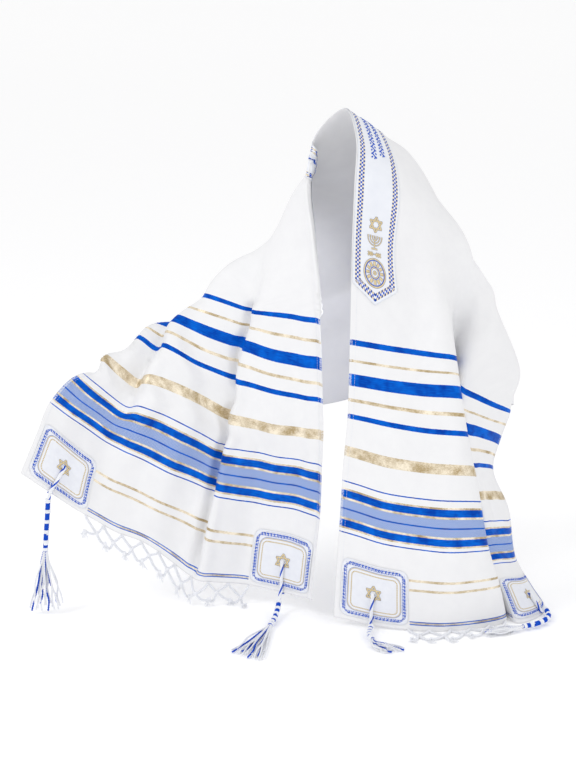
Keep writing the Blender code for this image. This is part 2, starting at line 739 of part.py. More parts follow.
cloth_white = paint("woven_white_cloth", (0.86, 0.87, 0.90), 0.80)
band_white = paint("satin_neckband", (0.80, 0.84, 0.93), 0.55)
patch_white = paint("satin_corner_patch", (0.78, 0.82, 0.92), 0.55)
tassel_blue = paint("blue_and_white_cord", (0.20, 0.35, 0.75), 0.70)
fringe_white = paint("white_fringe_yarn", (0.88, 0.88, 0.90), 0.75)

grid = ClothGrid()
make_cloth(grid, cloth_white)
make_neckband(grid, band_white)
for side_name, side in (("right", -1), ("left", 1)):
    for end_name, front in (("front", True), ("back", False)):
        corner = side_name + "_" + end_name
        make_patch(grid, side, front, "corner_patch_" + corner, patch_white)
        make_tassel(corner, TASSELS[corner], tassel_blue)
    make_fringe(grid, side, "fringe_" + side_name, FRINGE_RUN[side_name], fringe_white)
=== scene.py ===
# %% [markdown]
# # A prayer shawl on an unseen head
# A prayer shawl is one long rectangle of light white cloth with woven stripes near its short
# ends. A satin band is sewn along the middle of its front edge, a square patch strengthens each
# corner, and a knotted tassel is tied through a hole in every patch. Between the patches the
# cloth's own warp threads are knotted into a net fringe.
#
# This lesson dresses a finished rigid model of the shawl. The first cell loads that model. Its
# pieces stay where they are, and everything made here is put in their place.

# %% Load the rigid model
import math

import bmesh
import bpy
import numpy as np
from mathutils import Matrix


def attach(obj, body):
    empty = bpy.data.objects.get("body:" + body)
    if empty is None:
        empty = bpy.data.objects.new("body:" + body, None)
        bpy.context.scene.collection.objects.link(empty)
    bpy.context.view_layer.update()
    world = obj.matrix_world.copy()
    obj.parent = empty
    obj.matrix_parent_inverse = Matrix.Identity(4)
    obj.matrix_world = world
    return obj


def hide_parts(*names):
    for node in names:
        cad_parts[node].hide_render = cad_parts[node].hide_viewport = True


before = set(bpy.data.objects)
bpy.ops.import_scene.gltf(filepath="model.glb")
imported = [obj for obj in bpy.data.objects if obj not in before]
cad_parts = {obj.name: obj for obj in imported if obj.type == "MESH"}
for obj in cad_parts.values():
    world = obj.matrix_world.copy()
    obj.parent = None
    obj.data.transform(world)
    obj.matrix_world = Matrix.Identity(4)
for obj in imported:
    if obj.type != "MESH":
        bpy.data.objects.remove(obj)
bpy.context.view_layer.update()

print("rigid pieces:", sorted(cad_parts))

# %% [markdown]
# ## Sizes
# Every size is named once, in metres, so that a millimetre is 0.001. Distances on the cloth are
# measured on the flat cloth: *along* it from the crown of the hood, less than nought on the
# wearer's right and more on the left, and *across* it from the front edge. A flat shawl is easy
# to measure, and a place on it stays the same place however it drapes.

# %% Sizes of the cloth and of what is sewn to it
MM = 0.001
HALF_LENGTH = 915 * MM
WIDTH = 600 * MM
FLOOR = -922 * MM
EYELET_ALONG = 853.5 * MM
EYELET_ACROSS = 72.5 * MM
CORNERS = {"right_front": (-1, EYELET_ACROSS), "right_back": (-1, WIDTH - EYELET_ACROSS),
           "left_front": (1, EYELET_ACROSS), "left_back": (1, WIDTH - EYELET_ACROSS)}
print(f"cloth {2 * HALF_LENGTH:.2f} m by {WIDTH:.2f} m, {len(CORNERS)} corners")

# %% [markdown]
# ## The drape
# Cloth over a head and shoulders falls in long folds that run down from the crown. Such a form
# can be sculpted or simulated. Here it is drawn by sections, the way a boat is lofted: each row
# below is one line across the cloth, from the front edge to the back edge, through eleven
# points. Points of the same column lie on the same fold. Sections are easy to correct one by
# one, and the surface through them is smooth.

# %% Sections: distance along the cloth, then points as (right, away, up) in millimetres
SECTIONS = [
    (-915, (-53, -38, -884), (-112, 8, -886), (-178, 42, -884), (-270, 28, -870),
     (-284, 40, -864), (-360, 30, -800), (-414, 25, -776), (-450, 20, -752),
     (-483, 14, -730), (-534, 6, -691), (-581, 0, -655)),
    (-830, (-45, -26, -815), (-101, 14, -807), (-165, 44, -804), (-245, 32, -786),
     (-255, 46, -778), (-336, 38, -734), (-400, 36, -702), (-432, 34, -686),
     (-470, 20, -654), (-510, 8, -614), (-547, 0, -575)),
    (-759, (-36, -12, -737), (-90, 24, -731), (-150, 50, -729), (-228, 40, -711),
     (-240, 56, -706), (-316, 46, -668), (-385, 38, -630), (-428, 44, -610),
     (-462, 30, -580), (-495, 18, -552), (-525, 10, -525)),
    (-670, (-33, -3, -640), (-85, 22, -636), (-142, 44, -632), (-206, 50, -622),
     (-217, 66, -623), (-295, 50, -574), (-367, 38, -540), (-390, 54, -546),
     (-418, 48, -524), (-444, 38, -499), (-467, 30, -476)),
    (-607, (-32, 0, -574), (-82, 15, -573), (-138, 31, -568), (-195, 50, -558),
     (-206, 70, -556), (-282, 56, -509), (-348, 50, -483), (-370, 80, -500),
     (-398, 70, -475), (-428, 66, -450), (-422, 92, -500)),
    (-555, (-33, 3, -522), (-79, 18, -519), (-132, 34, -511), (-185, 52, -500),
     (-197, 74, -498), (-262, 72, -470), (-326, 68, -434), (-340, 94, -448),
     (-372, 92, -424), (-384, 135, -465), (-370, 100, -530)),
    (-480, (-35, 6, -447), (-74, 22, -446), (-120, 38, -440), (-167, 54, -428),
     (-178, 76, -428), (-240, 82, -407), (-299, 90, -384), (-308, 118, -402),
     (-330, 128, -404), (-318, 200, -485), (-304, 118, -566)),
    (-410, (-38, 9, -371), (-72, 24, -370), (-112, 40, -367), (-154, 55, -366),
     (-165, 74, -367), (-245, 104, -345), (-252, 148, -358), (-248, 190, -395),
     (-242, 220, -455), (-238, 216, -535), (-237, 150, -590)),
    (-340, (-42, 10, -305), (-72, 26, -312), (-110, 43, -322), (-145, 60, -335),
     (-156, 82, -334), (-215, 112, -300), (-200, 156, -328), (-186, 202, -368),
     (-172, 232, -432), (-162, 232, -520), (-161, 180, -598)),
    (-250, (-52, 13, -215), (-70, 34, -222), (-92, 57, -230), (-114, 78, -240),
     (-124, 98, -240), (-130, 138, -252), (-108, 188, -280), (-86, 232, -325),
     (-72, 258, -400), (-65, 250, -495), (-69, 206, -588)),
    (-150, (-62, 16, -117), (-66, 40, -118), (-69, 63, -126), (-72, 88, -138),
     (-62, 118, -150), (-20, 150, -188), (10, 185, -232), (30, 212, -285),
     (42, 230, -370), (45, 232, -470), (35, 212, -566)),
    (-70, (-48, 18, -45), (-28, 52, -55), (5, 85, -75), (36, 114, -98),
     (60, 138, -135), (90, 172, -192), (104, 186, -248), (112, 197, -305),
     (118, 204, -370), (122, 208, -445), (123, 208, -522)),
    (0, (0, 0, 0), (38, 38, -29), (70, 70, -54), (110, 110, -84),
     (150, 150, -150), (172, 172, -232), (184, 184, -292), (191, 191, -342),
     (198, 198, -391), (204, 204, -440), (209, 209, -489)),
    (70, (18, -48, -45), (60, -12, -62), (98, 22, -88), (134, 58, -122),
     (182, 112, -188), (208, 138, -258), (222, 152, -315), (231, 161, -366),
     (240, 170, -416), (249, 180, -466), (257, 190, -516)),
    (150, (16, -60, -117), (68, -40, -132), (112, -15, -150), (150, 22, -178),
     (212, 85, -222), (243, 115, -290), (256, 122, -348), (262, 124, -398),
     (266, 124, -448), (266, 122, -497), (262, 120, -545)),
    (250, (13, -52, -215), (66, -30, -232), (114, -10, -250), (164, 10, -270),
     (222, 80, -286), (262, 112, -330), (288, 130, -380), (304, 138, -432),
     (316, 142, -485), (322, 144, -530), (325, 146, -565)),
    (340, (12, -43, -310), (68, -32, -325), (124, -16, -340), (180, 0, -355),
     (212, 100, -382), (248, 82, -408), (292, 102, -440), (322, 122, -478),
     (336, 148, -515), (326, 182, -550), (308, 205, -585)),
    (410, (11, -34, -399), (75, -26, -412), (138, -16, -424), (197, -5, -435),
     (202, 112, -478), (216, 30, -500), (248, 45, -520), (280, 65, -540),
     (305, 90, -556), (315, 108, -565), (317, 127, -573)),
    (480, (10, -32, -467), (76, -32, -478), (142, -24, -488), (206, -13, -495),
     (206, 102, -540), (222, 12, -567), (246, 32, -580), (266, 52, -592),
     (283, 76, -604), (292, 92, -612), (299, 108, -620)),
    (555, (8, -32, -541), (78, -42, -554), (148, -40, -567), (219, -25, -577),
     (222, 97, -618), (236, 0, -641), (252, 24, -649), (264, 44, -656),
     (274, 64, -663), (280, 80, -669), (285, 97, -676)),
    (640, (1, -36, -626), (80, -56, -644), (160, -62, -654), (238, -38, -665),
     (240, 70, -704), (252, 0, -718), (266, 19, -724), (278, 36, -730),
     (292, 54, -735), (304, 70, -741), (313, 86, -745)),
    (759, (-6, -46, -749), (80, -76, -765), (175, -92, -774), (260, -62, -781),
     (256, 40, -810), (272, -6, -826), (288, 2, -828), (302, 16, -832),
     (317, 34, -837), (328, 60, -844), (333, 98, -851)),
    (835, (-11, -56, -828), (80, -84, -842), (178, -98, -848), (282, -60, -850),
     (274, 30, -870), (294, -22, -871), (312, -14, -873), (328, -2, -877),
     (342, 18, -881), (352, 44, -887), (357, 82, -894)),
    (915, (-15, -64, -907), (82, -88, -918), (180, -98, -922), (300, -50, -922),
     (288, 14, -922), (317, -58, -921), (332, -54, -921), (350, -40, -921),
     (366, -20, -921), (378, 8, -922), (381, 48, -922)),
]
STATIONS = np.array([row[0] for row in SECTIONS]) * MM
SECTION_POINTS = np.array([row[1:] for row in SECTIONS]) * MM
print(len(SECTIONS), "sections of", SECTION_POINTS.shape[1], "points")

# %% [markdown]
# ## From sections to a surface
# A cubic curve that takes its slope from the neighbouring points passes through every point and
# never turns sharply. It is used twice: along each fold, and across each section. Each section
# is then walked off by length, so that a place 100 mm from the front edge really lies 100 mm
# from it. This is what keeps the woven stripes straight on the draped cloth.

# %% Smooth curves and the wearer's frame
def smooth_rows(stations, rows, where):
    """Rows of numbers read between their stations on a smooth curve."""
    gaps = np.diff(stations)
    flat = (-1,) + (1,) * (rows.ndim - 1)
    rises = np.diff(rows, axis=0) / gaps.reshape(flat)
    before, after = gaps[:-1].reshape(flat), gaps[1:].reshape(flat)
    middle = (rises[:-1] * after + rises[1:] * before) / (before + after)
    slopes = np.concatenate([rises[:1], middle, rises[-1:]])
    i = np.clip(np.searchsorted(stations, where, side="right") - 1, 0, len(gaps) - 1)
    gap = gaps[i].reshape(flat)
    f = ((where - stations[i]) / gaps[i]).reshape(flat)
    return ((2 * f**3 - 3 * f**2 + 1) * rows[i] + (f**3 - 2 * f**2 + f) * gap * slopes[i]
            + (3 * f**2 - 2 * f**3) * rows[i + 1] + (f**3 - f**2) * gap * slopes[i + 1])


def facing_wearer(points):
    """Turns points from the sections' frame, squared to the open front, by 45 degrees."""
    turn = math.sqrt(0.5)
    right, away, up = np.moveaxis(np.asarray(points, float), -1, 0)
    return np.stack([turn * (right - away), turn * (right + away), up], axis=-1)


def walk(points, power=1.0):
    """The distance walked to each point of a line. A power below 1 evens out short steps."""
    steps = np.linalg.norm(np.diff(points, axis=0), axis=1)
    return np.concatenate([[0], np.cumsum(steps**power)])


def read_line(at, walked, points):
    """Points of a line at distances walked along it."""
    return np.stack([np.interp(at, walked, column) for column in np.asarray(points).T], axis=-1)


def smooth_line(points, count):
    """Points on the smooth curve through a few points."""
    knots = walk(points, 0.5)
    return smooth_rows(knots, points, np.linspace(0, knots[-1], count))


def section_line(along, shares):
    """Points of one section, at shares of its length from the edge that shows."""
    curve = smooth_line(smooth_rows(STATIONS, SECTION_POINTS, np.array([along]))[0], 481)
    walked = walk(curve)
    return read_line(shares, walked / walked[-1], curve)


# %% [markdown]
# ## Creases
# The sections hold the large folds. Smaller creases are soft troughs and ridges along straight
# lines on the flat cloth: a bell-shaped rise across the line that fades out at both ends. They
# are listed one by one, uneven in length, depth and spacing as real creases are.

# %% Creases: from and to as (along, across), half width and height, all in millimetres
CREASES = [
    # right wing, front panel: soft flutes that fall from the shoulder
    (-300, 60, -880, 62, 16, -2.5), (-360, 105, -900, 108, 22, 3.0),
    (-420, 150, -905, 150, 18, -2.5), (-330, 32, -700, 36, 10, 1.6),
    # right wing: the deep tuck behind the front panel, and the ridge that rolls over it
    (-395, 151, -665, 233, 8, -13.0), (-635, 237, -925, 241, 9, -13.0),
    (-395, 130, -665, 212, 10, 7.0), (-635, 216, -925, 221, 11, 6.5),
    # right wing, outer panels
    (-430, 275, -905, 285, 26, -4.0), (-480, 320, -900, 335, 22, 3.5),
    (-520, 380, -905, 378, 18, -3.0), (-600, 420, -905, 425, 16, 3.0),
    (-640, 505, -905, 512, 16, -2.5), (-560, 545, -860, 560, 14, 2.0),
    (-700, 250, -905, 258, 12, 3.0),
    # over the head and shoulders
    (-40, 150, -330, 120, 18, 2.0), (-60, 220, -300, 180, 20, -3.0),
    (60, 130, 420, 118, 24, -3.0), (90, 190, 470, 172, 20, 2.5),
    (70, 330, 380, 300, 20, -5.5), (60, 390, 360, 360, 18, 5.5),
    # back
    (-120, 330, -330, 330, 22, 6.0), (-60, 380, -320, 390, 20, -8.0),
    (-20, 430, -300, 450, 20, 7.0), (10, 470, 260, 480, 22, -8.0),
    (-60, 520, -330, 540, 20, 6.0), (30, 530, 330, 545, 20, 6.0),
    # left wing, front panel
    (420, 40, 880, 36, 22, -2.0), (520, 95, 905, 90, 26, 3.0),
    (600, 165, 905, 160, 26, -3.0), (480, 215, 880, 225, 20, 2.0),
    # left wing, outer panel
    (560, 490, 905, 498, 14, 2.0), (520, 525, 905, 535, 12, -2.0),
]
CREASE_FADE = 0.22


def crease_height(along, across):
    """How far all creases together raise the cloth at a place, in metres."""
    height = np.zeros_like(along)
    for from_along, from_across, to_along, to_across, half, rise in CREASES:
        start = np.array([from_along, from_across]) * MM
        run = np.array([to_along, to_across]) * MM - start
        long = np.hypot(*run)
        way = run / long
        by = (along - start[0]) * way[0] + (across - start[1]) * way[1]
        aside = (across - start[1]) * way[0] - (along - start[0]) * way[1]
        fade = np.clip(np.minimum(by, long - by) / (CREASE_FADE * long) + 0.5, 0, 1)
        height += rise * MM * np.exp(-(aside / (half * MM))**2) * fade**2 * (3 - 2 * fade)
    return height


print(len(CREASES), "creases, up to", max(abs(row[5]) for row in CREASES), "mm high")

# %% [markdown]
# ## The turned margin
# On the wearer's right the front margin, with the sewn band on it, is turned in behind the
# panel from just below the crown to the elbow. So a place on the flat cloth is found in two
# steps: how far it lies from the edge that shows, and whether it is on the panel or on the
# margin behind it. Between them the cloth goes round in a soft half circle. All down that wing
# the edge that shows stands out a little from a sharp crease, so it catches the light as a
# bright line.

# %% The whole surface on a fine grid
TURN_DEPTH = 98 * MM
TURN_GAP = 10 * MM
TURN_TOP, TURN_TOP_EASE = 85 * MM, 90 * MM
TURN_FOOT, TURN_FOOT_EASE = 412 * MM, 56 * MM
EDGE_STRIP, EDGE_LEAN = 12 * MM, 0.75
LEAN_FROM, LEAN_EASE = 90 * MM, 120 * MM
HEM_CREASE, HEM_FADE = 0.35, 25 * MM
OFF_FLOOR = 0.4 * MM
GRID = 2.5 * MM


def eased(share):
    share = np.clip(share, 0, 1)
    return share * share * (3 - 2 * share)


def turned_in(along):
    """How much of the front margin is turned in at a distance along the cloth."""
    return (TURN_DEPTH * eased((-TURN_TOP - along) / TURN_TOP_EASE)
            * eased((along + TURN_FOOT) / TURN_FOOT_EASE))


def outward(points):
    """The unit way out of the cloth at each point of a grid."""
    out = np.cross(np.gradient(points, axis=0), np.gradient(points, axis=1))
    return out / np.linalg.norm(out, axis=2, keepdims=True)


grid_along = np.linspace(-HALF_LENGTH, HALF_LENGTH, round(2 * HALF_LENGTH / GRID) + 1)
grid_share = np.linspace(0, 1, round(WIDTH / GRID) + 1)
places, shares = np.meshgrid(grid_along, grid_share, indexing="ij")
from_edge = shares * (WIDTH - turned_in(places))
plain = facing_wearer(np.array([section_line(along, grid_share) for along in grid_along]))
hem_fade = np.clip((HALF_LENGTH - np.abs(places)) / HEM_FADE, 0, 1)
hem_fade = HEM_CREASE + (1 - HEM_CREASE) * hem_fade
lift = crease_height(places, shares * WIDTH) * hem_fade
lift += (eased((-LEAN_FROM - places) / LEAN_EASE) * EDGE_LEAN
         * np.clip(EDGE_STRIP - from_edge, 0, None) * hem_fade)
panel_points = plain + outward(plain) * lift[..., None]
panel_points[..., 2] = np.maximum(panel_points[..., 2], FLOOR + OFF_FLOOR)
panel_out = outward(panel_points)
print("surface grid", panel_points.shape[:2], "spans",
      np.round(np.ptp(panel_points, axis=(0, 1)), 3), "m")


# %% A place on the flat cloth, found on the draped one
def on_cloth(along, across, raised=0.0):
    """Points at places on the cloth, raised outward from it."""
    along, across = np.broadcast_arrays(np.asarray(along, float), np.asarray(across, float))
    turn = turned_in(along)
    from_edge = np.abs(across - turn)
    row = (along + HALF_LENGTH) / GRID
    column = from_edge / (WIDTH - turn) * (len(grid_share) - 1)
    i = np.clip(np.floor(row).astype(int), 0, len(grid_along) - 2)
    j = np.clip(np.floor(column).astype(int), 0, len(grid_share) - 2)
    f, g = (row - i)[..., None], (column - j)[..., None]
    point, out = [(1 - f) * ((1 - g) * v[i, j] + g * v[i, j + 1])
                  + f * ((1 - g) * v[i + 1, j] + g * v[i + 1, j + 1])
                  for v in (panel_points, panel_out)]
    over = panel_points[i, j + 1] - panel_points[i, j]
    over = over / np.linalg.norm(over, axis=-1, keepdims=True)
    out = out / np.linalg.norm(out, axis=-1, keepdims=True)
    half = TURN_GAP / 2 * np.clip(turn / TURN_GAP, 0.02, 1)
    round_by = np.arccos(1 - np.clip(from_edge / half, 0, 1))
    round_by = np.where(turn < 0.1 * MM, math.pi / 2, round_by) * np.where(across < turn, -1, 1)
    depth = np.where(turn < 0.1 * MM, 0, half * (1 - np.sin(round_by)))
    facing = out * np.sin(round_by)[..., None] - over * np.cos(round_by)[..., None]
    return (point - out * depth[..., None]
            + facing * np.asarray(raised, float)[..., None])


print("the eyelets are at", [np.round(on_cloth(side * EYELET_ALONG, across), 3).tolist()
                             for side, across in CORNERS.values()])

# %% [markdown]
# ## Cloth pieces as thin shells
# A sheet is first an open surface: a grid of places on the flat cloth, each looked up on the
# drape. Solidify then gives it a thin wall, so it has an inside, an outside and a real edge.
# Every sheet keeps its flat places in a UV map called flat, in metres. The patterns
# read that map, so they are woven into the cloth and bend with it.

# %% Sheets
def make_sheet(name, along, across, raised, faces, wall, way):
    """A sheet through places on the cloth, thickened outwards (1) or inwards (-1)."""
    mesh = bpy.data.meshes.new(name)
    mesh.from_pydata(on_cloth(along, across, raised), [], faces)
    flat = mesh.uv_layers.new(name="flat")
    corner = np.zeros(len(mesh.loops), np.int32)
    mesh.loops.foreach_get("vertex_index", corner)
    flat.data.foreach_set("uv", np.stack([across[corner], along[corner]], axis=-1).ravel())
    mesh.shade_smooth()
    sheet = bpy.data.objects.new(name, mesh)
    bpy.context.scene.collection.objects.link(sheet)
    shell = sheet.modifiers.new("wall", "SOLIDIFY")
    shell.thickness = wall
    shell.offset = way
    return sheet


def grid_faces(rows, columns, keep=lambda i, j: True):
    """Faces of a grid whose points are numbered row by row."""
    return [(i * columns + j, (i + 1) * columns + j, (i + 1) * columns + j + 1, i * columns + j + 1)
            for i in range(rows - 1) for j in range(columns - 1) if keep(i, j)]


# %% [markdown]
# ## The cloth itself
# The grid's lines are about 5 mm apart. They are laid so that a point falls on the middle of
# each eyelet. The four faces around it are left out and the ring of points around them is pulled
# into a circle, which makes a neat round hole. Where the margin is turned in, one point of each
# row is moved onto the turned edge, and where that edge runs aslant the rows are closer and the
# faces are cut along it, so that the edge is clean.

# %% The cloth
ROW_STEP = 5.5 * MM
COLUMN_STEP = 5 * MM
HOLE = 4.2 * MM
half_rows = EYELET_ALONG - ROW_STEP * np.arange(155, -1, -1)
half_rows = np.concatenate([half_rows, EYELET_ALONG + ROW_STEP * np.arange(1, 11),
                            [HALF_LENGTH - 3 * MM, HALF_LENGTH]])
cloth_rows = np.concatenate([-half_rows[::-1], [0.0], half_rows])
for start, end, count in ((-420 * MM, -342 * MM, 46), (-182 * MM, -80 * MM, 40)):
    cloth_rows = cloth_rows[(cloth_rows < start - 1 * MM) | (cloth_rows > end + 1 * MM)]
    cloth_rows = np.sort(np.append(cloth_rows, np.linspace(start, end, count)))
cloth_columns = np.concatenate([np.arange(0, 15, 2) * MM,
                                17.5 * MM + COLUMN_STEP * np.arange(114),
                                [587.5 * MM, 592.5 * MM, 597 * MM, WIDTH]])
along, across = np.meshgrid(cloth_rows, cloth_columns, indexing="ij")
CLOTH_WALL = 0.8 * MM
PULLED_FROM, PULLED_TO = 1 * MM, 8 * MM
turned_edge = turned_in(cloth_rows)
edge_columns = np.argmin(np.abs(cloth_columns - turned_edge[:, None]), axis=1)
for i in np.flatnonzero(turned_edge > 1 * MM):
    across[i, edge_columns[i]] = turned_edge[i]
edge_cells, edge_faces = set(), []
for i, (here, after) in enumerate(zip(edge_columns[:-1], edge_columns[1:])):
    row, next_row = i * len(cloth_columns), (i + 1) * len(cloth_columns)
    for j in range(min(here, after), max(here, after)):
        edge_cells.add((i, j))
        edge_faces += [(row + j, next_row + after, row + j + 1),
                       (row + here, next_row + j, next_row + j + 1)]
along, across = along.ravel().copy(), across.ravel()
hole_faces = set()
for side, hole_across in CORNERS.values():
    from_hole = np.hypot(along - side * EYELET_ALONG, across - hole_across)
    ring = (from_hole > PULLED_FROM) & (from_hole < PULLED_TO)
    pull = HOLE / from_hole[ring]
    along[ring] = side * EYELET_ALONG + (along[ring] - side * EYELET_ALONG) * pull
    across[ring] = hole_across + (across[ring] - hole_across) * pull
    i = int(np.argmin(np.abs(cloth_rows - side * EYELET_ALONG)))
    j = int(np.argmin(np.abs(cloth_columns - hole_across)))
    hole_faces |= {(i - 1, j - 1), (i - 1, j), (i, j - 1), (i, j)}
cloth = make_sheet("cloth", along, across, np.zeros_like(along),
                   grid_faces(len(cloth_rows), len(cloth_columns),
                              lambda i, j: (i, j) not in hole_faces | edge_cells)
                   + edge_faces, CLOTH_WALL, -1)
shell = bmesh.new()
shell.from_mesh(cloth.data)
bmesh.ops.delete(shell, geom=[v for v in shell.verts if not v.link_faces], context="VERTS")
shell.to_mesh(cloth.data)
shell.free()
print("cloth:", len(cloth.data.polygons), "faces on", len(cloth_rows), "by", len(cloth_columns))

# %% [markdown]
# ## The neckband
# The band is a satin ribbon folded under along its edges, with a point at each end. Its
# grid has straight lines along the cloth, and its cross lines slide from straight, over the
# crown, to the shape of the point at the ends. Two numbers are kept at each point for the
# woven border: how far it is inside the nearest edge, and how far along that edge it lies.

# %% The neckband
BAND_REACH = 355 * MM
BAND_POINT = 28 * MM
BAND_FROM = 2 * MM
BAND_WIDTH = 86 * MM
BAND_GRID = (241, 29)
SATIN_WALL, SATIN_LIFT = 0.7 * MM, 0.5 * MM
ROLL_HEIGHT, BAND_ROLL, PATCH_ROLL = 0.5 * MM, 2.5 * MM, 2.2 * MM
point_angle = math.atan2(BAND_POINT, BAND_WIDTH / 2)


def add_numbers(sheet, **numbers):
    """Stores a number for each point of a mesh under a name that a material can read."""
    for name, values in numbers.items():
        kept = sheet.data.attributes.new(name, "FLOAT", "POINT")
        kept.data.foreach_set("value", np.asarray(values, np.float32))


shares, sides = np.meshgrid(*[np.linspace(-1, 1, count) for count in BAND_GRID], indexing="ij")
from_middle = sides * BAND_WIDTH / 2
reach = BAND_REACH - BAND_POINT * np.abs(sides)
along, across = (shares * reach).ravel(), (BAND_FROM + BAND_WIDTH / 2 + from_middle).ravel()
inside = np.minimum(BAND_WIDTH / 2 - np.abs(from_middle),
                    (reach - np.abs(shares * reach)) * math.cos(point_angle)).ravel()
hem_roll = ROLL_HEIGHT * np.exp(-(inside / BAND_ROLL)**2)
band = make_sheet("satin_neckband", along, across, SATIN_LIFT + hem_roll,
                  grid_faces(*BAND_GRID), SATIN_WALL, 1)
at_point = reach.ravel() - np.abs(along) < (BAND_WIDTH / 2 - np.abs(from_middle.ravel()))
add_numbers(band, inside=inside, run=np.where(at_point, np.abs(from_middle.ravel()) / math.cos(
    point_angle), np.abs(along)))
print("neckband:", len(band.data.polygons), "faces, point of", round(math.degrees(point_angle)),
      "degrees")

# %% [markdown]
# ## The corner patches
# A patch is a rounded rectangle with a round eyelet in the middle. A mesh of rings that turn
# slowly from the eyelet's circle into the patch's outline gives clean edges at both.

# %% The corner patches
PATCH_ALONG, PATCH_ACROSS = 105 * MM, 125 * MM
PATCH_ROUND, RING_ROUND = 13 * MM, 28 * MM
PATCH_RINGS, PATCH_SPOKES = 34, 160
EYELET_RADIUS = 3.5 * MM
patches = {}


def rounded_outline(half_x, half_y, radius, count):
    """Evenly spaced points round a rounded rectangle, and their distances walked round it."""
    arc = np.linspace(0, math.pi / 2, 13)
    dense = []
    for turn, (x, y) in enumerate(((1, 1), (-1, 1), (-1, -1), (1, -1))):
        angles = arc + turn * math.pi / 2
        dense += list(np.stack([x * (half_x - radius) + radius * np.cos(angles),
                                y * (half_y - radius) + radius * np.sin(angles)], axis=-1))
    dense = np.array(dense + dense[:1])
    walked = walk(dense)
    at = np.linspace(0, walked[-1], count, endpoint=False)
    return read_line(at, walked, dense), at


outline, outline_walked = rounded_outline(PATCH_ALONG / 2, PATCH_ACROSS / 2, PATCH_ROUND,
                                          PATCH_SPOKES)
angles = np.arctan2(outline[:, 1], outline[:, 0])
eyelet = EYELET_RADIUS * np.stack([np.cos(angles), np.sin(angles)], axis=-1)
share = np.linspace(0, 1, PATCH_RINGS)[:, None, None]
flat_patch = ((1 - share) * eyelet + share * outline).reshape(-1, 2)
corner_part = np.abs(flat_patch) - [PATCH_ALONG / 2 - RING_ROUND,
                                    PATCH_ACROSS / 2 - RING_ROUND]
patch_inside = RING_ROUND - (np.linalg.norm(np.maximum(corner_part, 0), axis=1)
                             + np.minimum(corner_part.max(axis=1), 0))
patch_faces = [(i * PATCH_SPOKES + j, (i + 1) * PATCH_SPOKES + j,
                (i + 1) * PATCH_SPOKES + (j + 1) % PATCH_SPOKES,
                i * PATCH_SPOKES + (j + 1) % PATCH_SPOKES)
               for i in range(PATCH_RINGS - 1) for j in range(PATCH_SPOKES)]
for corner, (side, hole_across) in CORNERS.items():
    along = side * EYELET_ALONG + flat_patch[:, 0]
    across = hole_across + flat_patch[:, 1]
    roll = ROLL_HEIGHT * np.exp(-(patch_inside / PATCH_ROLL)**2)
    patch = make_sheet("satin_patch_" + corner, along, across, SATIN_LIFT + roll,
                       patch_faces, SATIN_WALL, 1)
    add_numbers(patch, inside=patch_inside, run=np.tile(outline_walked, PATCH_RINGS))
    patches[corner] = patch
print("patches:", ", ".join(patches), "of", len(patch_faces), "faces")

# %% [markdown]
# ## Materials: colours and one helper
# Colours are picked as they look on a screen, written as hex, and turned to the linear
# numbers that light adds up in. One helper adds any shader node with its settings and links.

# %% Colours and the node helper
def linear(hex_colour):
    """A hex colour as linear red, green, blue and full alpha."""
    values = [int(hex_colour[k:k + 2], 16) / 255 for k in (0, 2, 4)]
    return (*[v / 12.92 if v <= 0.04045 else ((v + 0.055) / 1.055)**2.4 for v in values], 1.0)


def feed(tree, made, inputs):
    """Fills a node's inputs, each with a plain value, an output, or a node's first output."""
    for key, value in inputs.items():
        if isinstance(value, bpy.types.Node):
            value = next(output for output in value.outputs if output.enabled)
        if isinstance(value, bpy.types.NodeSocket):
            tree.links.new(value, made.inputs[key])
        else:
            made.inputs[key].default_value = value


def node(tree, kind, inputs=None, **settings):
    """Adds a node with its settings and inputs."""
    made = tree.nodes.new(kind)
    for key, value in settings.items():
        setattr(made, key, value)
    feed(tree, made, inputs or {})
    return made


def new_material(name, **shader_values):
    """A material with a Principled shader. Returns the material, its tree and the shader."""
    material = bpy.data.materials.new(name)
    material.use_nodes = True
    shader = material.node_tree.nodes["Principled BSDF"]
    feed(material.node_tree, shader,
         {key.replace("_", " "): value for key, value in shader_values.items()})
    return material, material.node_tree, shader


print("royal blue is", [round(v, 3) for v in linear("0A4BBE")])

# %% [markdown]
# ## Woven polyester with satin and metallic stripes
# The cloth is fine white polyester, matt and slightly cool. Its stripes are woven in, so they
# look alike on both faces. The blue ones float long shiny threads and read as satin. The gold
# ones are a flat metallised thread that sparkles unevenly.
#
# Each stripe is a row of the table: its yarn, and where it starts and ends, in millimetres from
# the hem. A Compare node turns a row into a mask, and the masks of one yarn add up. The
# narrow lines next to the hem stop at the patches.

# %% Stripes: yarn, from, to, and whether it runs edge to edge
STRIPES = [
    ("blue", 10.8, 12.4, False), ("sky", 12.4, 16.6, False), ("gold", 13.2, 15.8, False),
    ("blue", 16.6, 18.2, False),
    ("gold", 77.8, 82.4, False), ("gold", 95.8, 100.4, False),
    ("blue", 155, 157.2, True), ("gold", 163, 166.4, True), ("blue", 166, 178.6, True),
    ("gold", 178.4, 182.4, True), ("sky", 182, 214, True), ("blue", 196.2, 198.8, True),
    ("gold", 213.4, 217.4, True), ("blue", 217.2, 230, True), ("gold", 229.8, 233.2, True),
    ("blue", 244, 246.2, True), ("gold", 289.5, 308, True),
    ("blue", 357.5, 366.5, True), ("gold", 389, 395, True), ("blue", 418, 440.5, True),
    ("gold", 463.5, 468.5, True), ("blue", 495, 505, True),
]
BETWEEN_PATCHES = (137 * MM, 463 * MM)
WEFT_WAVE = 0.8 * MM
material_cloth, tree, shader = new_material(
    "woven_polyester_with_satin_and_metallic", Roughness=0.78, Specular_IOR_Level=0.05)
flat_map = node(tree, "ShaderNodeUVMap", uv_map="flat")
flat_place = node(tree, "ShaderNodeSeparateXYZ", {0: flat_map}).outputs
